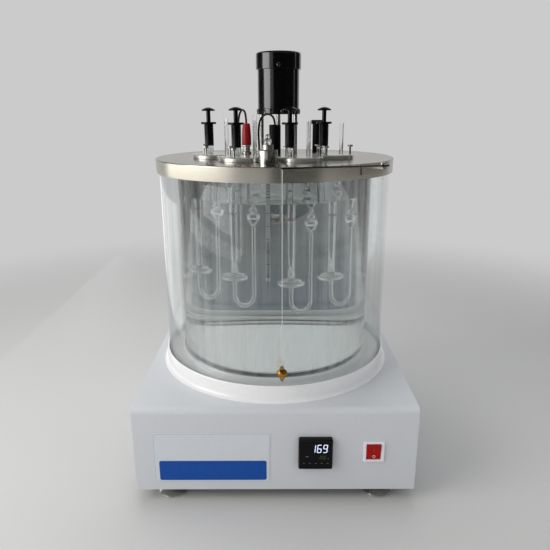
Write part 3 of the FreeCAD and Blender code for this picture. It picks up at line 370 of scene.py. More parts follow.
# Smoked acrylic window of the controller, polished flat
SMOKED = Finish("smoked_window", "#050507", "#030304", (0.04, 0.07), grain_mm=8.0, relief_mm=0.001,
                specular=0.18)
# White nylon frame of the switch, glossy from its mould, and the red clear rocker with a lamp behind it
WHITE_MOULDING = Finish("white_moulded_plastic", "#faf8ff", "#f4f2fa", (0.22, 0.3), grain_mm=2.0)
RED_ROCKER = Finish("red_translucent_moulding", "#ab0105", "#970104", (0.12, 0.18), grain_mm=4.0, coat=0.1,
                    glow=0.06, specular=0.2)
# White pad-printed ink on the rocker, tinged by the red below it
PRINT_WHITE = Finish("white_print", "#e9c9cc", "#ddbabd", (0.4, 0.5))
# Extruded aluminium of the power unit, with the die's fine lines
ALUMINIUM = Finish("extruded_aluminium", "#b9bbbe", "#a8aaad", (0.25, 0.4), metallic=1.0,
                   pattern=Pattern.DRAWN, grain_mm=0.6, stretch=(1.0, 20.0, 1.0))
# Polyester film of the nameplate: satin, a shade lighter and bluer than the coat round it, screen-printed
FILM = Finish("satin_polyester_film", "#dde1e7", "#d9dde3", (0.3, 0.4), grain_mm=6.0, relief_mm=0.004)
BLUE_INK = Finish("screen_printed_blue", "#0550ac", "#044aa1", (0.28, 0.36), grain_mm=5.0, relief_mm=0.003,
                  specular=0.3)
EDGE_INK = Finish("film_edge", "#aebccb", "#a6b4c4", (0.4, 0.5))
# Chloroprene sheath of the leads, extruded, dull
SHEATH = Finish("black_rubber_sheath", "#101010", "#080808", (0.35, 0.5), grain_mm=0.7, relief_mm=0.02,
                specular=0.25)
# Silicone sleeve of the sensor's head: deep red, soft gloss
RED_SLEEVE = Finish("red_silicone_sleeve", "#a60a14", "#74050f", (0.25, 0.4), grain_mm=3.0,
                    stretch=(1.0, 1.0, 3.0), relief_mm=0.06, relief=0.4, specular=0.35)
# Turned brass of the bob, darkened between its tool marks
BRASS = Finish("turned_brass", "#c79a45", "#7e5420", (0.15, 0.3), metallic=1.0, pattern=Pattern.SPUN,
               grain_mm=0.8, axis_mm=(9.6, -190.2), relief_mm=0.02)
# Twisted cotton of the plumb thread: dull, with the twist's short shadows
THREAD = Finish("twisted_cotton", "#e9e9e4", "#bdbdb8", (0.7, 0.85), grain_mm=0.6, stretch=(1.0, 1.0, 2.5),
                relief_mm=0.1, relief=0.6)
# Milk glass strip behind the thermometer's column, its scale ink, and the red paper mark round a limb
SCALE_BACK = Finish("milk_glass_backing", "#dfe3e2", "#d3d7d6", (0.2, 0.3))
SCALE_INK = Finish("black_scale_ink", "#161a1c", "#101315", (0.5, 0.6))
RED_LABEL = Finish("red_paper_mark", "#b3343a", "#9c272e", (0.5, 0.6))
# Lit segments of the display, and the grey print of the touch keys
LIT_WHITE = Finish("lit_white_segment", "#d3defa", "#c6d4f6", (0.4, 0.5), glow=0.85)
LIT_GREEN = Finish("lit_green_segment", "#1d5226", "#184820", (0.4, 0.5), glow=0.3)
DIM_MARK = Finish("grey_key_print", "#6c6f72", "#5e6164", (0.5, 0.6), glow=0.1)

# Soda-lime glass of the jar; borosilicate of the viscometers against air, against water and inside the bore
JAR_GLASS = Clear("soda_lime_glass", "#f9fbfa", 1.5)
TUBE_GLASS = Clear("borosilicate_in_air", "#fbfcfc", 1.47)
TUBE_IN_WATER = Clear("borosilicate_in_water", "#fdfefe", 1.11)
TUBE_BORE = Clear("borosilicate_bore", "#ffffff", 1.47)
QUARTZ_IN_WATER = Clear("fused_quartz_in_water", "#fcfdfd", 1.02)
# The pumps' sleeves are moulded of a clear plastic that is a little hazy
CLEAR_SLEEVE = Clear("clear_moulded_sleeve", "#eef0ee", 1.45, gloss=0.08)
# The jar's wet faces bend light only by the step from water to glass, and carry the bath's faint grey-blue
JAR_IN_WATER = Clear("soda_lime_glass_in_water", "#f2f3f3", 1.128)
# Water stirred by the impeller: only its open face is wavy; where it wets the glass nothing of it shows
WATER = Clear("bath_water", "#f9fbfd", 1.33, wave_mm=26.0, wave_relief_mm=0.25)
WETTED = Passing("water_against_glass")
# Cast acrylic of the outer cylinder, with faint upright streaks
ACRYLIC = ThinClear("cast_acrylic", "#f7f8f8")

TUBE_FACES = (TUBE_GLASS, TUBE_IN_WATER, TUBE_BORE)


@cache
def material_of(finish: Glaze) -> bpy.types.Material:
    """Give a finish's material, made the first time it is asked for."""
    return node_material(finish.name, finish.surface)


def lathe(mesh: Mesh, profile: Profile, centre: Pair, steps: int, closed: bool = True) -> None:
    """Spin a profile of radius and height about an upright axis.

    Args:
        mesh: The mesh that takes the faces.
        profile: Radius and height of each point, in millimetres.
        centre: The axis's x and y, in millimetres.
        steps: How many faces go round.
        closed: Whether the last point joins the first.
    """
    before = set(mesh.faces)
    points = [mesh.verts.new((radius * MM, 0.0, height * MM)) for radius, height in profile]
    pairs = list(zip(points, points[1:])) + ([(points[-1], points[0])] if closed else [])
    edges = [mesh.edges.new(pair) for pair in pairs]
    bmesh.ops.spin(mesh, geom=points + edges, cent=(0, 0, 0), axis=(0, 0, 1), dvec=(0, 0, 0),
                   angle=math.tau, steps=steps, use_merge=True)
    corners = dict.fromkeys(vertex for face in mesh.faces if face not in before for vertex in face.verts)
    bmesh.ops.translate(mesh, verts=list(corners), vec=(centre[0] * MM, centre[1] * MM, 0.0))


def swell(start: Pair, end: Pair, bulge: float, count: int = 6) -> Profile:
    """Bow a stretch of a profile outward.

    Args:
        start: The first point.
        end: The last point.
        bulge: How far the middle stands out to the right of the way from start to end.
        count: How many runs the stretch has.

    Returns:
        The points, with both ends.
    """
    run, rise = end[0] - start[0], end[1] - start[1]
    length = math.hypot(run, rise)
    points = []
    for share in (step / count for step in range(count + 1)):
        out = 4 * bulge * share * (1 - share)
        points.append((start[0] + run * share + rise / length * out,
                       start[1] + rise * share - run / length * out))
    return points


def block(mesh: Mesh, size: Triple, middle: Triple, corner: float = 0.0, lean: float = 0.0) -> None:
    """Add a box whose edges from front to back are rounded.

    Args:
        mesh: The mesh that takes the box.
        size: Width, depth and height in millimetres.
        middle: The centre in millimetres.
        corner: The radius of the rounded edges in millimetres.
        lean: How far the top stands to the right of the foot, as a share of the height.
    """
    made = bmesh.ops.create_cube(mesh, size=1.0)["verts"]
    bmesh.ops.scale(mesh, vec=[part * MM for part in size], verts=made)
    for vertex in made:
        vertex.co.x += vertex.co.z * lean
    bmesh.ops.translate(mesh, vec=[part * MM for part in middle], verts=made)
    if corner:
        edges = [edge for edge in edges_at(made) if runs_back(edge)]
        bmesh.ops.bevel(mesh, geom=edges, offset=corner * MM, segments=5, affect="EDGES", profile=0.5,
                        material=-1)


def edges_at(vertices: list[bmesh.types.BMVert]) -> list[bmesh.types.BMEdge]:
    """Give each edge at some vertices once, in an order that is the same each run."""
    return list(dict.fromkeys(edge for vertex in vertices for edge in vertex.link_edges))


def runs_back(edge: bmesh.types.BMEdge) -> bool:
    """Tell whether an edge runs from front to back."""
    return abs((edge.verts[0].co - edge.verts[1].co).normalized().y) > 0.99


def as_data(name: str, mesh: Mesh) -> bpy.types.Mesh:
    """Turn a working mesh, which is used up, to mesh data.

    Args:
        name: The data's name.
        mesh: The working mesh.

    Returns:
        The data.
    """
    data = bpy.data.meshes.new(name)
    mesh.to_mesh(data)
    mesh.free()
    return data


def place(data: bpy.types.ID, materials: Iterable[bpy.types.Material] = ()) -> Thing:
    """Stand an object in the scene.

    Args:
        data: What it shows, whose name it takes.
        materials: The materials, in the order of the faces' material numbers.

    Returns:
        The new object.
    """
    item = bpy.data.objects.new(data.name, data)
    bpy.context.scene.collection.objects.link(item)
    for material in materials:
        data.materials.append(material)
    return item


def piece(name: str, shape: Mesh | bpy.types.Curve, body: str, slot: str, finishes: Iterable[Glaze],
          replaces: tuple[str, ...] = (), sharp: float = SHARP, edge_mm: float = 0.0) -> Thing:
    """Make a shape a smooth, dressed piece that rides on a body.

    Args:
        name: The piece's name.
        shape: A mesh, which is used up, or a curve.
        body: The body it rides on.
        slot: The record's material slot; not used.
        finishes: The finishes, in the order of the faces' material numbers.
        replaces: The CAD nodes that it stands for.
        sharp: Edges that turn by more than this many degrees stay sharp.
        edge_mm: The width of the bevel on sharp edges.

    Returns:
        The new object.
    """
    if isinstance(shape, Mesh):
        bmesh.ops.remove_doubles(shape, verts=shape.verts[:], dist=MERGE)
        bmesh.ops.recalc_face_normals(shape, faces=shape.faces[:])
        shape = as_data(name, shape)
        shape.shade_smooth()
        shape.set_sharp_from_angle(angle=math.radians(sharp))
    item = place(shape, map(material_of, finishes))
    if edge_mm:
        bevel = item.modifiers.new("edge", "BEVEL")
        bevel.width = edge_mm * MM
        bevel.segments = 2
        bevel.limit_method = "ANGLE"
        bevel.angle_limit = math.radians(sharp)
        bevel.harden_normals = True
    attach(item, body)
    if replaces:
        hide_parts(*replaces)
    LOG.info("%s rides on %s", item.name, body)
    return item


def turned(name: str, profile: Profile, axis: Pair, steps: int, *fit, **edges) -> Thing:
    """Spin a profile into a piece.

    Args:
        name: The piece's name.
        profile: Radius and height of each point, in millimetres.
        axis: The axis's x and y, in millimetres.
        steps: How many faces go round.
        fit: Body, slot, finishes and replaced nodes, as piece takes them.
        edges: How sharp edges are treated, as piece takes it.

    Returns:
        The new object.
    """
    mesh = bmesh.new()
    lathe(mesh, profile, axis, steps)
    return piece(name, mesh, *fit, **edges)


def slabs(name: str, boxes: Iterable[tuple], *fit) -> Thing:
    """Make one piece of boxes.

    Args:
        name: The piece's name.
        boxes: What block takes for each box.
        fit: Body, slot, finishes and replaced nodes, as piece takes them.

    Returns:
        The new object.
    """
    mesh = bmesh.new()
    for box in boxes:
        block(mesh, *box)
    return piece(name, mesh, *fit)


def body_of(node: str) -> str:
    """Find the body that a CAD node belongs to."""
    bodies = frame["record"]["behaviour"]["bodies"]
    return next(body for body, members in bodies.items() if node in members)


def slot_of(node: str) -> str:
    """Find the material slot that the record gives a CAD node."""
    return next(entry["material_slot"] for entry in frame["record"]["subparts"] if entry["node"] == node)


def span_of(node: str) -> tuple[Pair, float, float, float]:
    """Measure an upright round CAD node, in millimetres.

    Args:
        node: The CAD node.

    Returns:
        Its axis's x and y, its radius, and the heights of its foot and its top.
    """
    low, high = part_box(node)
    axis = ((low[0] + high[0]) / 2 / MM, (low[1] + high[1]) / 2 / MM)
    return axis, (high[0] - low[0]) / 2 / MM, low[2] / MM, high[2] / MM


def merged(node: str) -> Mesh:
    """Copy a CAD node's mesh, with its doubled points merged and its flat faces whole.

    Args:
        node: The CAD node.

    Returns:
        The copy.
    """
    mesh = bmesh.new()
    mesh.from_mesh(frame["nodes"][node].data)
    bmesh.ops.remove_doubles(mesh, verts=mesh.verts[:], dist=2 * MERGE)
    bmesh.ops.dissolve_limit(mesh, angle_limit=math.radians(0.4), verts=mesh.verts[:], edges=mesh.edges[:])
    return mesh


def dress(node: str, finish: Glaze, edge_mm: float = 0.3, sharp: float = SHARP) -> Thing:
    """Stand a smooth, bevelled copy of a CAD node in its place.

    Args:
        node: The CAD node.
        finish: What it is made of.
        edge_mm: The width of the bevel on its sharp edges.
        sharp: Edges that turn by more than this many degrees are sharp.

    Returns:
        The new object.
    """
    return piece(node + "_finished", merged(node), body_of(node), slot_of(node), [finish], (node,),
                 sharp, edge_mm)


def paint(node: str, finish: Finish) -> None:
    """Give a CAD node that keeps its own shape a better material.

    Args:
        node: The CAD node.
        finish: What it is made of.
    """
    data = frame["nodes"][node].data
    data.materials.clear()
    data.materials.append(material_of(finish))


@dataclass
class Cabinet:
    """The white base with its feet, collar, seat, nameplate and what the cabinet holds, in millimetres."""

    feet: int = 4
    steps: int = 160
    collar_inside: float = 177.3
    collar_wall: float = 3.0
    collar_height: float = 24.2
    collar_lip: float = 1.5
    flare: float = 6.0
    flare_edge: float = 0.8
    flare_hollow: float = 1.7
    seat_radius: float = 173.4
    seat_height: float = 14.0
    curb_inside: float = 150.4
    curb_width: float = 5.0
    curb_top: float = 23.5
    curb_lip: float = 2.4
    fillet: Pair = (2.0, 1.4)
    recess: float = 18.0
    air_film: float = 0.3
    front: float = -200.0
    plate: Pair = (-89.5, 72.5)
    plate_size: Triple = (165.0, 0.36, 80.0)
    plate_corner: float = 2.5
    line: Pair = (0.5, 0.08)
    line_ends: float = 2.5
    line_inset: float = 1.2
    line_level: float = 0.38
    bar: Pair = (-88.6, 52.2)
    bar_size: Triple = (152.6, 0.12, 31.9)
    bar_corner: float = 3.0
    bar_level: float = 0.42

    def build(self) -> None:
        """Make and dress every piece of the base."""
        dress("base_cabinet", POWDER_COAT, edge_mm=0.6)
        for node, finish in (("bottom_plate", ZINC), ("foot_nuts", ZINC), ("power_unit", ALUMINIUM)):
            paint(node, finish)
        for number in range(1, self.feet + 1):
            dress(f"levelling_foot_{number}", NICKEL)
        self.collar()
        self.seat()
        self.nameplate()

    def collar(self) -> None:
        """Spin the white collar, with its rolled lip and its flared foot."""
        inside, outside = self.collar_inside, self.collar_inside + self.collar_wall
        foot, edge = outside + self.flare, CABINET_TOP + self.flare_edge
        lip = CABINET_TOP + self.collar_height - self.collar_lip
        profile = [(inside, CABINET_TOP), (foot, CABINET_TOP)]
        profile += swell((foot, edge), (outside, edge + self.flare), -self.flare_hollow)
        profile += swell((outside, lip), (inside, lip), self.collar_lip)
        turned("collar_ring", profile, MIDDLE, self.steps, "base", "white_enamel", [WHITE_ENAMEL_PAINTED_LIT],
               ("bath_collar",))

    def seat(self) -> None:
        """Spin the seat with the curb that centres the jar."""
        low, inside, outside = CABINET_TOP, self.curb_inside, self.curb_inside + self.curb_width
        floor, lip = low + self.seat_height, low + self.curb_top - self.curb_lip
        rest = low + self.recess - self.air_film
        profile = [(0.0, low), (self.seat_radius, low), (self.seat_radius, floor),
                   (outside + self.fillet[0], floor), (outside, floor + self.fillet[1])]
        profile += swell((outside, lip), (inside, lip), self.curb_lip) + [(inside, rest), (0.0, rest)]
        turned("seat_and_curb", profile, MIDDLE, self.steps, "base", "white_enamel", [WHITE_ENAMEL_PAINTED_LIT],
               ("jar_seat",))

    def nameplate(self) -> None:
        """Lay the bare film with its thin edge line and its blue bar."""
        (x, z), (width, depth, height), (line, ink) = self.plate, self.plate_size, self.line
        fit = ("base", "nameplate_film")
        film = (self.plate_size, (x, self.front - depth / 2, z), self.plate_corner)
        slabs("nameplate_film", [film], *fit, [FILM], ("nameplate",))
        level, lines = self.front - self.line_level, []
        across, up = width / 2 - self.line_inset, height / 2 - self.line_inset
        for side in (-1, 1):
            lines += [((width - 2 * self.line_ends, ink, line), (x, level, z + side * up)),
                      ((line, ink, height - 2 * self.line_ends), (x + side * across, level, z))]
        slabs("nameplate_edge_line", lines, *fit, [EDGE_INK])
        bar = (self.bar_size, (self.bar[0], self.front - self.bar_level, self.bar[1]), self.bar_corner)
        slabs("nameplate_blue_bar", [bar], *fit, [BLUE_INK])


@dataclass
class Bath:
    """The clear outer cylinder, the glass jar and the water in it, in millimetres."""

    cylinder_radius: float = 176.8
    cylinder_wall: float = 3.0
    cylinder_top: float = 474.0
    jar_radius: float = 150.0
    jar_wall: float = 4.0
    jar_floor: float = 7.0
    jar_corner: float = 9.0
    jar_top: float = 468.0
    jar_lip: float = 2.0
    water_lap: float = 0.02
    flat_ring: float = 0.8
    near: float = 0.1
    steps: int = 160
    # How far in from the wall, and how high as a share of the whole climb, the water's rim stands
    climb: tuple[Pair, ...] = ((0.0, 1.0), (0.7, 0.7), (1.8, 0.25), (3.0, 0.0))

    def build(self) -> None:
        """Make the cylinder, the jar and the water."""
        self.cylinder()
        self.jar()
        self.water()

    def cylinder(self) -> None:
        """Spin the outer cylinder with softly broken rims."""
        inside, outside = self.cylinder_radius - self.cylinder_wall, self.cylinder_radius
        profile = [(inside, CABINET_TOP), (outside, CABINET_TOP), (outside, self.cylinder_top),
                   (inside, self.cylinder_top)]
        turned("outer_cylinder_clear", profile, MIDDLE, self.steps, "base", "clear_acrylic", [ACRYLIC],
               ("outer_cylinder",), edge_mm=0.4)

    def corner(self, inset: float, lift: float) -> Profile:
        """Round a bottom corner of the jar or of the water.

        Args:
            inset: How far the wall stands in from the jar's outside.
            lift: How far the floor stands up from the jar's rest.

        Returns:
            The corner's points, from the floor to the wall.
        """
        across, up = self.jar_radius - inset - self.jar_corner, JAR_REST + lift + self.jar_corner
        return [(across + self.jar_corner * math.sin(turn), up - self.jar_corner * math.cos(turn))
                for turn in (step * math.pi / 16 for step in range(9))]

    def jar(self) -> None:
        """Spin the jar, with a fire-polished rim."""
        inside, flat = self.jar_radius - self.jar_wall, self.jar_radius - self.jar_corner - self.flat_ring
        lip, wet_rim, floor = self.jar_top - self.jar_lip, WATER_LEVEL + MENISCUS, JAR_REST + self.jar_floor
        profile = [(0.0, JAR_REST), (flat, JAR_REST)] + self.corner(0.0, 0.0)
        profile += swell((self.jar_radius, lip), (inside, lip), self.jar_lip) + [(inside, wet_rim)]
        profile += self.corner(self.jar_wall, self.jar_floor)[::-1]
        profile += [(flat - self.jar_wall, floor), (0.0, floor)]
        mesh = bmesh.new()
        lathe(mesh, profile, MIDDLE, self.steps)
        for face in mesh.faces:
            middle = face.calc_center_median() / MM
            within = math.hypot(middle.x, middle.y) < inside + self.near
            face.material_index = int(within and floor - self.near < middle.z < wet_rim)
        piece("glass_jar_clear", mesh, "base", "jar_glass", [JAR_GLASS, JAR_IN_WATER], ("glass_jar",))

    def water(self) -> None:
        """Spin the water, with its open face a hair's breadth short of the rim it climbs."""
        inset, lift = self.jar_wall - self.water_lap, self.jar_floor - self.water_lap
        radius = self.jar_radius - inset
        profile = [(0.0, JAR_REST + lift), (radius - self.jar_corner - self.flat_ring, JAR_REST + lift)]
        profile += self.corner(inset, lift)
        profile += [(radius - inward, WATER_LEVEL + share * MENISCUS) for inward, share in self.climb]
        profile += [(radius - self.climb[-1][0] - self.flat_ring, WATER_LEVEL), (0.0, WATER_LEVEL)]
        mesh = bmesh.new()
        lathe(mesh, profile, MIDDLE, self.steps)
        for face in mesh.faces:
            middle = face.calc_center_median() / MM
            against_wall = math.hypot(middle.x, middle.y) > radius - self.near
            face.material_index = int(middle.z <= WATER_LEVEL - self.near or against_wall)
        piece("bath_water", mesh, "base", "jar_glass", [WATER, WETTED])


@dataclass
class Viscometer:
    """A capillary viscometer: a wide limb with a flat reservoir, a U bend and a thin limb with two bulbs."""

    number: int
    centre: Pair
    shift: float
    reach: float
    limb: float = 13.0
    wide: float = 5.5
    thin: float = 3.1
    wall: float = 1.1
    dish: float = 18.8
    half_dish: float = 5.2
    bend_depth: float = 26.0
    bend_stretch: float = 1.35
    length: float = 232.0
    wide_drop: float = 43.0
    bulbs: tuple[Triple, ...] = ((88.0, 9.0, 28.0), (118.0, 7.0, 21.0))
    mark_height: float = 92.0
    steps: int = 32

    def height(self) -> float:
        """Give the level of the reservoir's middle."""
        return LID_TOP + self.reach - self.length

    def axis(self, side: int) -> Pair:
        """Give the axis of the wide limb, for -1, or of the thin one, for 1."""
        return self.centre[0] + self.shift + side * self.limb, self.centre[1]

    def wide_profile(self, inset: float) -> Profile:
        """Trace the wide limb from the bend up.

        Args:
            inset: How far the trace stands in from the outside.

        Returns:
            The points, in millimetres.
        """
        level = self.height()
        thin, wide, dish = self.thin - inset, self.wide - inset, self.dish - inset
        half = self.half_dish - inset
        points = [(thin, level - self.bend_depth), (thin, level - half - 3.0)]
        points += swell((thin + 0.4, level - half - 0.6), (dish - 0.8, level - 1.5), 0.9) + [(dish, level)]
        points += swell((dish - 0.8, level + 1.5), (wide + 0.6, level + half + 0.4), 0.9)
        tops = (level + half + 3.0, WATER_LEVEL, level + self.length - self.wide_drop)
        return points + [(wide, top) for top in tops]

    def thin_profile(self, inset: float) -> Profile:
        """Trace the thin limb from the bend up, over its bulbs.

        Args:
            inset: How far the trace stands in from the outside.

        Returns:
            The points, in millimetres.
        """
        level, thin = self.height(), self.thin - inset
        points = [(thin, level - self.bend_depth)]
        for middle, radius, length in self.bulbs:
            low, high, wide = level + middle - length / 2, level + middle + length / 2, radius - inset
            points += [(thin, low - 1.5)]
            points += swell((thin + 0.2, low), (wide, level + middle - 2.0), 0.25)
            points += swell((wide, level + middle), (thin + 0.2, high), 0.2)
            points += [(thin, high + 1.5)]
        if points[-1][1] < WATER_LEVEL:
            points.append((thin, WATER_LEVEL))
        return points + [(thin, level + self.length)]

    def build(self) -> None:
        """Blow the glass: outside, bore and bend, each face with the medium that it meets."""
        mesh = bmesh.new()
        for inset, bore in ((0.0, False), (self.wall, True)):
            before = set(mesh.faces)
            lathe(mesh, self.wide_profile(inset), self.axis(-1), self.steps, closed=False)
            lathe(mesh, self.thin_profile(inset), self.axis(1), self.steps, closed=False)
            self.bend(mesh, self.thin - inset)
            for face in mesh.faces:
                if face not in before:
                    under = face.calc_center_median().z < WATER_LEVEL * MM
                    face.material_index = 2 if bore else int(under)
        bmesh.ops.remove_doubles(mesh, verts=mesh.verts[:], dist=20 * MERGE)
        self.close_rims(mesh)
        fit = (f"station_{self.number}", "viscometer_glass")
        piece(f"viscometer_glass_{self.number}", mesh, *fit, TUBE_FACES, (f"viscometer_{self.number}",),
              sharp=ROUND)
        near, far, level = self.wide + 0.02, self.wide + 0.14, self.height() + self.mark_height
        ring = [(near, level), (far, level + 0.1), (far, level + 0.8), (near, level + 0.9)]
        turned(f"viscometer_mark_{self.number}", ring, self.axis(-1), self.steps, *fit, [RED_LABEL])

    def bend(self, mesh: Mesh, radius: float) -> None:
        """Spin the half ring that joins the two limbs.

        Args:
            mesh: The mesh that takes it.
            radius: The tube's radius.
        """
        middle = Vector((self.centre[0] + self.shift, self.centre[1], self.height() - self.bend_depth)) * MM
        ring = bmesh.ops.create_circle(mesh, segments=self.steps, radius=radius * MM)["verts"]
        bmesh.ops.translate(mesh, verts=ring, vec=middle + Vector((self.limb * MM, 0.0, 0.0)))
        before = set(mesh.verts)
        bmesh.ops.spin(mesh, geom=ring + edges_at(ring), cent=middle, axis=(0, 1, 0), dvec=(0, 0, 0),
                       angle=math.pi, steps=20)
        bmesh.ops.scale(mesh, verts=[vertex for vertex in mesh.verts if vertex not in before],
                        vec=(1.0, 1.0, self.bend_stretch), space=Matrix.Translation(-middle))

    def close_rims(self, mesh: Mesh) -> None:
        """Bridge the outside and the bore at the two open ends.

        Args:
            mesh: The mesh of outside and bore.
        """
        middle = (self.centre[0] + self.shift) * MM
        rims = [edge for edge in mesh.edges if edge.is_boundary]
        for left in (True, False):
            loop = [edge for edge in rims if (edge.verts[0].co.x < middle) is left]
            for face in bmesh.ops.bridge_loops(mesh, edges=loop)["faces"]:
                face.material_index = 0


@dataclass
class Station:
    """A holder plate with its thumb screws, viscometer and suction pump, in millimetres."""

    number: int
    angle: float
    shift: float
    reach: float
    circle: float = 93.0
    adaptor_radius: float = 6.4
    adaptor_bore: float = 5.8
    adaptor_height: float = 12.0
    rod_radius: float = 3.1
    piston_radius: float = 5.0
    knob_height: float = 5.1
    steps: int = 48
    # Radius and height above its foot of each corner of the barrel, with its flange, its bore and its spigot
    barrel: tuple[Pair, ...] = (
        (5.6, 0.0), (6.75, 0.0), (6.75, 30.5), (7.4, 31.0), (11.2, 31.0), (11.2, 34.0), (3.35, 34.0),
        (3.35, 30.6), (5.25, 30.6), (5.25, 6.0), (1.5, 6.0), (1.5, 2.0), (5.6, 2.0))

    def centre(self) -> Pair:
        """Give the station's place on the lid."""
        turn = math.radians(self.angle)
        return self.circle * math.sin(turn), -self.circle * math.cos(turn)

    def build(self) -> None:
        """Make and dress the station."""
        dress(f"holder_plate_{self.number}", SATIN_STEEL, edge_mm=0.5)
        dress(f"thumb_screws_{self.number}", CHROME, edge_mm=0.25)
        self.plunger()
        self.pump()
        Viscometer(self.number, self.centre(), self.shift, self.reach).build()

    def plunger(self) -> None:
        """Turn the plunger: its rod, and the domed knob that the thumb presses."""
        node = f"suction_plunger_{self.number}"
        axis, radius, foot, top = span_of(node)
        under = top - self.knob_height
        profile = [(0.0, foot), (self.piston_radius, foot), (self.piston_radius, foot + 4.0),
                   (self.rod_radius, foot + 4.4), (self.rod_radius, under), (radius - 0.9, under),
                   (radius - 0.2, under + 0.5), (radius, under + 1.2)]
        profile += swell((radius - 0.1, under + 1.7), (0.0, top), 0.75, 10)[:-1] + [(0.0, top)]
        turned(node + "_turned", profile, axis, self.steps, f"plunger_{self.number}", slot_of(node),
               [GLOSS_MOULDING], (node,), sharp=50.0)

    def pump(self) -> None:
        """Turn the black barrel with its flange, and the clear sleeve that fits over the wide limb."""
        x, y = self.centre()
        axis = (x + self.shift - Viscometer.limb, y)
        inside, outside, top = self.adaptor_bore, self.adaptor_radius, HOLDER_TOP + self.adaptor_height
        barrel = [(radius, top + height) for radius, height in self.barrel]
        low, high = HOLDER_TOP + 0.02, top - 0.05
        sleeve = [(inside, low), (outside, low), (outside, high), (inside, high)]
        fit = (self.steps, f"station_{self.number}", "black_gloss_moulding")
        turned(f"pump_barrel_{self.number}", barrel, axis, *fit, [GLOSS_MOULDING],
               (f"suction_barrel_{self.number}",), edge_mm=0.35)
        turned(f"pump_sleeve_{self.number}", sleeve, axis, *fit, [CLEAR_SLEEVE])


@dataclass
class Lid:
    """The spun steel lid with the motor, stirrer, heater, sensor, thermometer and plumb line on it."""

    # Angle on the lid in degrees, and each viscometer's shift and reach in millimetres
    stations: tuple[Triple, ...] = (
        (-74.0, 5.0, 57.0), (-29.0, 5.0, 62.0), (22.5, -1.0, 54.0), (65.0, 1.5, 50.0))
    thermometer_axis: Pair = (-8.7, -111.5)
    stem_radius: float = 3.0
    stem_wall: float = 0.5
    stem_foot: float = 289.0
    stem_top: float = 499.5
    stem_steps: int = 32
    sensor_foot: float = 0.3
    sensor_steps: int = 48
    scale_marks: int = 46
    scale_pitch: float = 3.6

    def build(self) -> None:
        """Make and dress every piece that the lid carries."""
        dress("lid", SPUN_STEEL, edge_mm=0.5)
        for node, finish in (
                ("motor_posts", STEEL_BAR), ("motor_screws", CHROME), ("sensor_probe", STEEL_BAR),
                ("stirrer_shaft", STEEL_BAR), ("impeller", STEEL_BAR), ("motor_flange", BLACK_ENAMEL),
                ("motor_body", BLACK_ENAMEL), ("motor_cap", BLACK_ENAMEL),
                ("heater_cap_left", BLACK_MOULDING), ("heater_cap_right", BLACK_MOULDING),
                ("lead_grommets", BLACK_MOULDING), ("thermometer_collar", STEEL_BAR),
                ("plumb_bracket", SPUN_STEEL), ("plumb_arm", BLACK_ENAMEL)):
            dress(node, finish)
        dress("heater_tube", QUARTZ_IN_WATER, edge_mm=0.0, sharp=ROUND)
        for number, (angle, shift, reach) in enumerate(self.stations, start=1):
            Station(number, angle, shift, reach).build()
        self.sensor_head()
        self.thermometer()

    def sensor_head(self) -> None:
        """Turn the sensor's head: a red sleeve pushed over a bright steel foot."""
        node = "sensor_head"
        axis, _, foot, top = span_of(node)
        seam = foot + (top - foot) * self.sensor_foot
        base = [(0.0, foot), (6.9, foot), (6.9, foot + 3.0), (5.2, foot + 4.0), (4.9, seam - 2.5),
                (6.2, seam - 2.0), (6.2, seam - 0.05), (0.0, seam - 0.05)]
        sleeve = [(0.0, seam), (6.6, seam)] + swell((6.9, seam + 0.8), (5.3, top - 1.2), 0.5, 8)
        sleeve += [(4.4, top), (0.0, top)]
        for name, finish, profile, nodes in (("sensor_foot", CHROME, base, (node,)),
                                             ("sensor_sleeve", RED_SLEEVE, sleeve, ())):
            turned(name, profile, axis, self.sensor_steps, body_of(node), slot_of(node), [finish], nodes,
                   edge_mm=0.25)

    def thermometer(self) -> None:
        """Make the thermometer: clear stem, milk glass strip, scale, column and blown knob."""
        (x, y), foot, top, radius = self.thermometer_axis, self.stem_foot, self.stem_top, self.stem_radius
        stem = bmesh.new()
        profile = [(0.0, foot)] + swell((0.9, foot + 0.1), (2.2, foot + 5.0), 0.5, 4)
        profile += [(2.4, foot + 14.0), (radius, foot + 18.0), (radius, WATER_LEVEL), (radius, top)]
        profile += [(4.0, top + 0.3)] + swell((4.2, top + 0.6), (2.7, top + 8.6), 1.9)
        profile += swell((2.9, top + 9.0), (0.0, top + 14.0), 1.5)
        lathe(stem, profile, self.thermometer_axis, self.stem_steps, closed=False)
        outside = set(stem.faces)
        bore = radius - self.stem_wall
        profile = [(0.0, foot + 20.0), (bore * 0.8, foot + 20.6), (bore, foot + 22.0), (bore, top - 1.0),
                   (bore * 0.8, top), (0.0, top + 0.4)]
        lathe(stem, profile, self.thermometer_axis, self.stem_steps, closed=False)
        for face in stem.faces:
            under = face.calc_center_median().z < WATER_LEVEL * MM
            face.material_index = int(under) if face in outside else 2
        fit = ("thermometer_unit", "thermometer_glass")
        piece("thermometer_glass_stem", stem, *fit, TUBE_FACES, ("thermometer",), sharp=ROUND)
        strip = ((3.6, 0.4, top - foot - 27.0), (x, y + 1.0, (top + foot) / 2 + 10.0))
        slabs("thermometer_backing", [strip], *fit, [SCALE_BACK])
        marks = []
        for step in range(self.scale_marks):
            width, height = (3.0, 1.1) if step % 5 == 0 else (1.5, 0.55)
            marks.append(((width, 0.1, height), (x, y + 0.65, foot + 26.0 + step * self.scale_pitch)))
        column = ((0.45, 0.5, 60.0), (x, y + 0.3, foot + 46.0))
        slabs("thermometer_scale", marks + [column], *fit, [SCALE_INK])


# A display digit's segments: where each stands, across and up, and which of them each digit lights
SEGMENT_PLACES = {"a": (0, 1), "g": (0, 0), "d": (0, -1), "f": (-1, 0.5), "b": (1, 0.5), "e": (-1, -0.5),
                  "c": (1, -0.5)}
SEGMENTS = {"1": "bc", "6": "acdefg", "9": "abcdfg", "2": "abged", "0": "abcdef"}


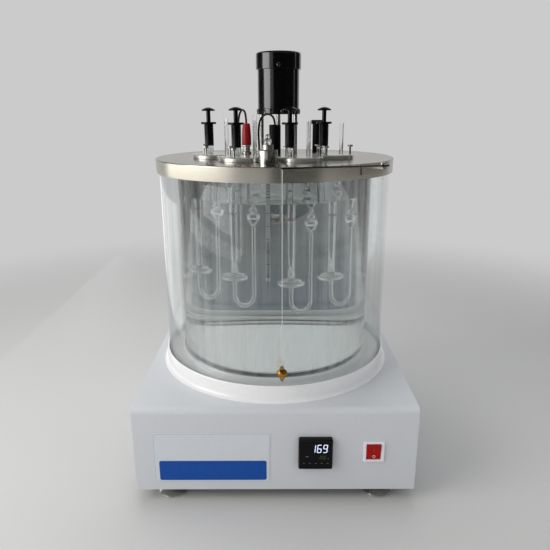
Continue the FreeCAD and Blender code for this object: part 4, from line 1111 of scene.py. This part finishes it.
@dataclass
class Controls:
    """The temperature controller, the mains switch and the inlet, in millimetres."""

    x: float = 56.5
    z: float = 82.5
    face: float = -208.0
    ink: float = 0.05
    ink_level: float = 0.03
    case_corner: float = 2.6
    near: float = 0.2
    digit_lean: float = 0.1
    keys: int = 5
    switch: Triple = (138.5, -203.6, 83.0)
    rocker_tilt: float = -8.0
    off_ring: float = 2.1
    off_ring_bore: float = 0.68

    def build(self) -> None:
        """Make and dress the controls."""
        self.case()
        dress("controller_window", SMOKED)
        dress("switch_bezel", WHITE_MOULDING, edge_mm=0.7)
        dress("switch_rocker", RED_ROCKER, edge_mm=0.6)
        dress("mains_inlet", BLACK_MOULDING, edge_mm=0.5)
        self.readout("controller_reading", "169", (self.x + 5.0, self.z + 10.0), (6.2, 13.0), 1.1, LIT_WHITE)
        self.readout("controller_target", "20", (self.x + 9.6, self.z - 4.0), (3.4, 5.4), 0.7, LIT_GREEN)
        self.key_marks()
        self.rocker_marks()

    def case(self) -> None:
        """Round the corners of the controller's moulded frame, and dress it."""
        node = "controller_case"
        mesh, ends = merged(node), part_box(node)
        corners = [edge for edge in mesh.edges if runs_back(edge)
                   and all(min(abs(edge.verts[0].co[axis] - end[axis]) for end in ends) < self.near * MM
                           for axis in (0, 2))]
        bmesh.ops.bevel(mesh, geom=corners, offset=self.case_corner * MM, segments=6, affect="EDGES",
                        profile=0.5)
        piece(node + "_finished", mesh, body_of(node), slot_of(node), [GLOSS_MOULDING], (node,), edge_mm=0.8)

    def readout(self, name: str, text: str, middle: Pair, size: Pair, stroke: float, finish: Finish) -> None:
        """Lay seven-segment digits on the window.

        Args:
            name: The piece's name.
            text: The digits.
            middle: The middle of the reading, x and z.
            size: The width and height of one digit.
            stroke: The width of a segment.
            finish: How the segments glow.
        """
        width, height = size
        flat = (width - 1.4 * stroke, self.ink, stroke)
        upright = (stroke, self.ink, height / 2 - 0.9 * stroke)
        bars = []
        for index, digit in enumerate(text):
            x = middle[0] + (index - (len(text) - 1) / 2) * (width + 1.9 * stroke)
            for across, up in (SEGMENT_PLACES[segment] for segment in SEGMENTS[digit]):
                level = up * (height - stroke) / 2
                spot = (x + across * (width - stroke) / 2 + level * self.digit_lean,
                        self.face - self.ink_level, middle[1] + level)
                bars.append((upright if across else flat, spot, stroke * 0.3, self.digit_lean))
        slabs(name, bars, "base", "display_window", [finish])

    def key_marks(self) -> None:
        """Print the small plain marks of the touch keys and lamps."""
        places = [(-16.6 + index * 8.4, -13.6, 2.0) for index in range(self.keys)]
        places += [(17.6, 6.4, 2.0), (17.6, -5.6, 2.0), (-12.0, -2.6, 4.6)]
        level = self.face - self.ink_level
        slabs("controller_key_marks", [((wide, self.ink, 0.9), (self.x + x, level, self.z + z), 0.3)
                                       for x, z, wide in places], "base", "display_window", [DIM_MARK])

    def rocker_marks(self) -> None:
        """Raise the on stroke and the off ring on the rocker."""
        mesh = bmesh.new()
        block(mesh, (0.9, 0.3, 3.8), (0.0, 0.0, 5.8), 0.2)
        middle = Vector((0.0, -0.1, -5.6)) * MM
        ring = bmesh.ops.create_circle(mesh, segments=24, radius=self.off_ring * MM)["verts"]
        bmesh.ops.rotate(mesh, verts=ring, cent=(0, 0, 0), matrix=Matrix.Rotation(math.pi / 2, 3, "X"))
        bmesh.ops.translate(mesh, verts=ring, vec=middle)
        wide = bmesh.ops.extrude_edge_only(mesh, edges=edges_at(ring))["geom"]
        bmesh.ops.scale(mesh, verts=[item for item in wide if isinstance(item, bmesh.types.BMVert)],
                        vec=(self.off_ring_bore, 1.0, self.off_ring_bore), space=Matrix.Translation(-middle))
        tilt = Matrix.Rotation(math.radians(self.rocker_tilt), 3, "X")
        bmesh.ops.rotate(mesh, verts=mesh.verts[:], cent=(0, 0, 0), matrix=tilt)
        bmesh.ops.translate(mesh, verts=mesh.verts[:], vec=Vector(self.switch) * MM)
        piece("rocker_marks", mesh, "rocker", "red_rocker", [PRINT_WHITE])


@dataclass
class Line:
    """A free lead or thread, in metres: its route from where it leaves the object to its far end."""

    node: str
    length: float
    route: tuple[Triple, ...]
    diameter: float = 0.003
    body: str = "lid_unit"
    slot: str = "black_cable"
    finish: Finish = SHEATH
    far_end: str = "object"
    lay: str = "loose"

    def build(self, with_pieces: tuple[Thing, ...] = ()) -> None:
        """Draw the line as one smooth spline.

        Args:
            with_pieces: The separate pieces that hang on it; not used.
        """
        data = bpy.data.curves.new(self.node + "_line", "CURVE")
        data.dimensions = "3D"
        data.bevel_depth = self.diameter / 2
        data.bevel_resolution = 4
        data.resolution_u = 12
        spline = data.splines.new("NURBS")
        spline.points.add(len(self.route) - 1)
        for point, spot in zip(spline.points, self.route):
            point.co = (*spot, 1.0)
        spline.order_u = 3
        spline.use_endpoint_u = True
        item = piece(data.name, data, self.body, self.slot, [self.finish], (self.node,))
        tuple(self.route[0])


LEADS = (
    Line("heater_lead", 0.0869, (
        (0.001, -0.036, 0.524), (0.0004, -0.0357, 0.532), (-0.005, -0.0335, 0.5385), (-0.013, -0.0295, 0.539),
        (-0.020, -0.026, 0.533), (-0.023, -0.0244, 0.523), (-0.0238, -0.0236, 0.510),
        (-0.0228, -0.0239, 0.496), (-0.023, -0.024, 0.481))),
    Line("sensor_lead", 0.0974, (
        (-0.041, -0.035, 0.526), (-0.0414, -0.034, 0.535), (-0.0435, -0.029, 0.5435),
        (-0.048, -0.021, 0.5455), (-0.052, -0.0135, 0.540), (-0.054, -0.0095, 0.530),
        (-0.0552, -0.008, 0.518),
        (-0.0546, -0.0084, 0.505), (-0.0553, -0.0078, 0.493), (-0.055, -0.008, 0.481))),
)
PLUMB_THREAD = Line(
    "plumb_thread", 0.264,
    tuple((0.009635, -0.19024, height) for height in (0.4738, 0.44, 0.385, 0.30, 0.24, 0.2098)),
    diameter=0.001, body="plumb_line", slot="thread", finish=THREAD, far_end="fitting", lay="taut")


@dataclass
class Studio:
    """The floor, the pale surroundings, the lamps, the flags and the camera, in metres and degrees."""

    backdrop: str = "#cbcbcb"
    floor_tone: str = "#cfcfcf"
    floor_radius: float = 6.0
    fade: Pair = (0.75, 1.7)
    ambient: float = 0.38
    camera_place: Triple = (0.0, -0.85742, 0.5393)
    pitch: float = 16.646
    yaw: float = -0.156
    roll: float = -0.221
    lens: float = 35.30
    shift: float = 0.0031
    bounces: int = 24
    # Name, place, aim, size, watts and tone of each lamp
    lamps: tuple[tuple[str, Triple, Triple, Pair, float, str], ...] = (
        ("key_softbox", (-1.25, -0.75, 1.0), (0.0, 0.0, 0.3), (1.0, 1.3), 15.0, "#fffdf8"),
        ("fill_softbox", (1.2, -1.0, 0.9), (0.0, 0.0, 0.25), (0.5, 0.9), 2.2, "#f4f8ff"),
        ("top_softbox", (-0.1, 0.35, 1.7), (0.0, 0.0, 0.4), (1.1, 0.8), 9.0, "#ffffff"))
    # Name, middle, size, tone and brightness of each card or flag that only gloss sees
    panels: tuple[tuple[str, Triple, Triple, str, float], ...] = (
        ("front_flag", (0.25, -1.5, 0.9), (2.1, 0.02, 0.95), "#1e1e1d", 1.0),
        ("front_low_flag", (0.6, -1.5, 0.28), (1.4, 0.02, 0.27), "#4b4b46", 1.0),
        ("right_flag", (1.3, -0.2, 0.9), (0.02, 2.6, 0.95), "#2a2a28", 1.0),
        ("right_low_flag", (1.3, -0.2, 0.37), (0.02, 2.6, 0.1), "#343430", 1.0),
        ("right_strip", (1.26, 0.12, 0.85), (0.02, 0.09, 0.7), "#ffffff", 1.0),
        ("left_card", (-1.35, -0.6, 0.383), (0.02, 2.3, 0.135), "#fffdf6", 2.8),
        ("left_back_flag", (-1.25, 0.65, 0.92), (0.02, 1.3, 0.9), "#3c3c3b", 1.0),
        ("ceiling_flag", (0.0, 0.0, 2.0), (3.0, 3.0, 0.02), "#4a4a48", 1.0),
        ("left_near_card", (-0.62, 0.42, 0.17), (0.02, 0.7, 0.33), "#ffffff", 1.1),
        ("left_far_card", (-0.62, 1.0, 0.17), (0.02, 0.44, 0.33), "#ffffff", 1.6),
        ("left_window", (-1.2, -0.6, 0.82), (0.02, 1.0, 0.62), "#ffffff", 4.6))
    back_middle: Triple = (0.0115, 0.5, 0.16)
    back_size: Triple = (0.52, 0.02, 0.29)
    back_fade: Pair = (0.28, 0.5)
    back_levels: Pair = (0.02, 0.3)
    # Share of the height and tone of the painted shade on the card behind the jar, seen through the bath,
    # from its foot up
    painted_shade_tones: tuple[tuple[float, str], ...] = (
        (0.0, "#54626f"), (0.3, "#4f575e"), (0.5, "#616565"), (0.62, "#4c5052"), (1.0, "#4a4d4e"))

    def build(self) -> None:
        """Set the whole stage."""
        self.world()
        self.floor()
        for lamp in self.lamps:
            self.lamp(*lamp)
        for name, middle, size, tone, strength in self.panels:
            self.panel(name, middle, size, glowing(tone, strength))
        self.panel("back_glow", (0.0, 1.2, 0.75), (2.4, 0.02, 0.5), glowing("#ffffff", 0.85), glossy=False)
        # A card that lights nothing paints the shade seen through the glass and the water of the bath
        self.panel("painted_shade_card", self.back_middle, self.back_size, self.painted_bath_shade, glossy=False)
        self.camera()

    def world(self) -> None:
        """Surround the part with the backdrop's tone, and light it more gently than that."""
        world = bpy.data.worlds.new("studio")
        bpy.context.scene.world = world
        world.use_nodes = True
        tree = world.node_tree
        tree.nodes.clear()
        rays = wire(tree, "LightPath").node.outputs
        seen = rays["Is Camera Ray"]
        for kind in ("Is Glossy Ray", "Is Transmission Ray"):
            seen = wire(tree, "Math", links={0: seen, 1: rays[kind]}, operation="MAXIMUM")
        pale = wire(tree, "Background", {"Color": linear(self.backdrop), "Strength": 1.0})
        dim = wire(tree, "Background", {"Color": linear("#ffffff"), "Strength": self.ambient})
        mix = wire(tree, "MixShader", links={0: seen, 1: dim, 2: pale})
        wire(tree, "OutputWorld", links={"Surface": mix})

    def floor(self) -> None:
        """Lay the floor, which fades into the backdrop's tone away from the part."""
        mesh = bmesh.new()
        bmesh.ops.create_circle(mesh, cap_ends=True, segments=96, radius=self.floor_radius)
        item = place(as_data("studio_floor", mesh), [node_material("studio_floor", self.fading)])

    def fading(self, tree: Tree) -> Socket:
        """Lay the floor's surface.

        Args:
            tree: The material's node tree.

        Returns:
            The shader's output.
        """
        reach = wire(tree, "VectorMath", links={0: wire(tree, "TexCoord", out="Object")}, out="Value",
                     operation="LENGTH")
        near = wire(tree, "BsdfPrincipled", {"Base Color": linear(self.floor_tone), "Roughness": 0.6})
        return wire(tree, "MixShader", links={
            0: ranged(tree, reach, self.fade, interpolation_type="SMOOTHSTEP"), 1: near,
            2: wire(tree, "Emission", {"Color": linear(self.backdrop), "Strength": 1.0})})

    def panel(self, name: str, middle: Triple, size: Triple, surface: Callable[[Tree], Socket],
              glossy: bool = True) -> None:
        """Stand a card or flag that lights nothing, and is seen only in gloss or only through glass.

        Args:
            name: The panel's name.
            middle: Its middle.
            size: Its width, depth and height.
            surface: Lays its surface.
            glossy: Whether gloss sees it; if not, glass and water do.
        """
        mesh = bmesh.new()
        block(mesh, tuple(part / MM for part in size), tuple(part / MM for part in middle))
        item = place(as_data(name, mesh), [node_material(name, surface)])
        item.visible_camera = item.visible_diffuse = item.visible_shadow = False
        item.visible_glossy = glossy
        item.visible_transmission = not glossy

    def painted_bath_shade(self, tree: Tree) -> Socket:
        """Lay the surface of the card behind the jar, seen only through the glass and the water: painted
        shade in bands by height, soft at its sides.

        Args:
            tree: The material's node tree.

        Returns:
            The shader's output.
        """
        spot = wire(tree, "TexCoord", out="Object")
        x, _, height = wire(tree, "SeparateXYZ", links={0: spot}).node.outputs
        side = wire(tree, "Math", {1: self.back_middle[0]}, {0: x}, operation="SUBTRACT")
        reach = wire(tree, "Math", links={0: side}, operation="ABSOLUTE")
        width = tuple(self.back_size[0] * share for share in self.back_fade)
        tone = wire(tree, "ValToRGB", links={"Fac": ranged(tree, height, self.back_levels)})
        ramp = tone.node.color_ramp.elements
        for share, _ in self.painted_shade_tones[1:-1]:
            ramp.new(share)
        for element, (_, code) in zip(ramp, self.painted_shade_tones):
            element.color = linear(code)
        return wire(tree, "MixShader", links={
            0: ranged(tree, reach, width, interpolation_type="SMOOTHSTEP"),
            1: wire(tree, "Emission", {"Strength": 1.0}, {"Color": tone}),
            2: wire(tree, "BsdfTransparent", {"Color": linear("#ffffff")})})

    def lamp(self, name: str, spot: Triple, aim: Triple, size: Pair, power: float, tone: str) -> None:
        """Hang a soft lamp.

        Args:
            name: The lamp's name.
            spot: Where it hangs.
            aim: The point it shines at.
            size: Its width and height.
            power: Its power in watts.
            tone: Its colour.
        """
        data = bpy.data.lights.new(name, "AREA")
        data.shape = "RECTANGLE"
        data.size, data.size_y = size
        data.energy = power
        data.color = linear(tone)[:3]
        item = place(data)
        item.location = spot
        item.rotation_euler = (Vector(aim) - Vector(spot)).to_track_quat("-Z", "Y").to_euler()
        item.visible_glossy = item.visible_transmission = False

    def camera(self) -> None:
        """Put the camera where the photograph was taken from."""
        data = bpy.data.cameras.new("camera")
        data.lens = self.lens
        data.sensor_width = 36.0
        data.shift_x = self.shift
        item = place(data)
        pose = Matrix.Translation(self.camera_place)
        for angle, axis in ((-self.yaw, "Z"), (90.0 - self.pitch, "X"), (self.roll, "Z")):
            pose @= Matrix.Rotation(math.radians(angle), 4, axis)
        item.matrix_world = pose
        scene = bpy.context.scene
        scene.camera = item
        scene.view_settings.view_transform = "Standard"
        for limit in ("max_bounces", "transmission_bounces", "transparent_max_bounces"):
            setattr(scene.cycles, limit, self.bounces)


def main() -> None:
    """Build the sub-assemblies in order."""
    logging.basicConfig(level=logging.INFO, format="%(message)s")
    Studio().build()
    for lead in LEADS:
        lead.build()
    PLUMB_THREAD.build((dress("plumb_bob", BRASS),))
    Cabinet().build()
    Bath().build()
    Lid().build()
    Controls().build()


if __name__ == "__main__":
    main()
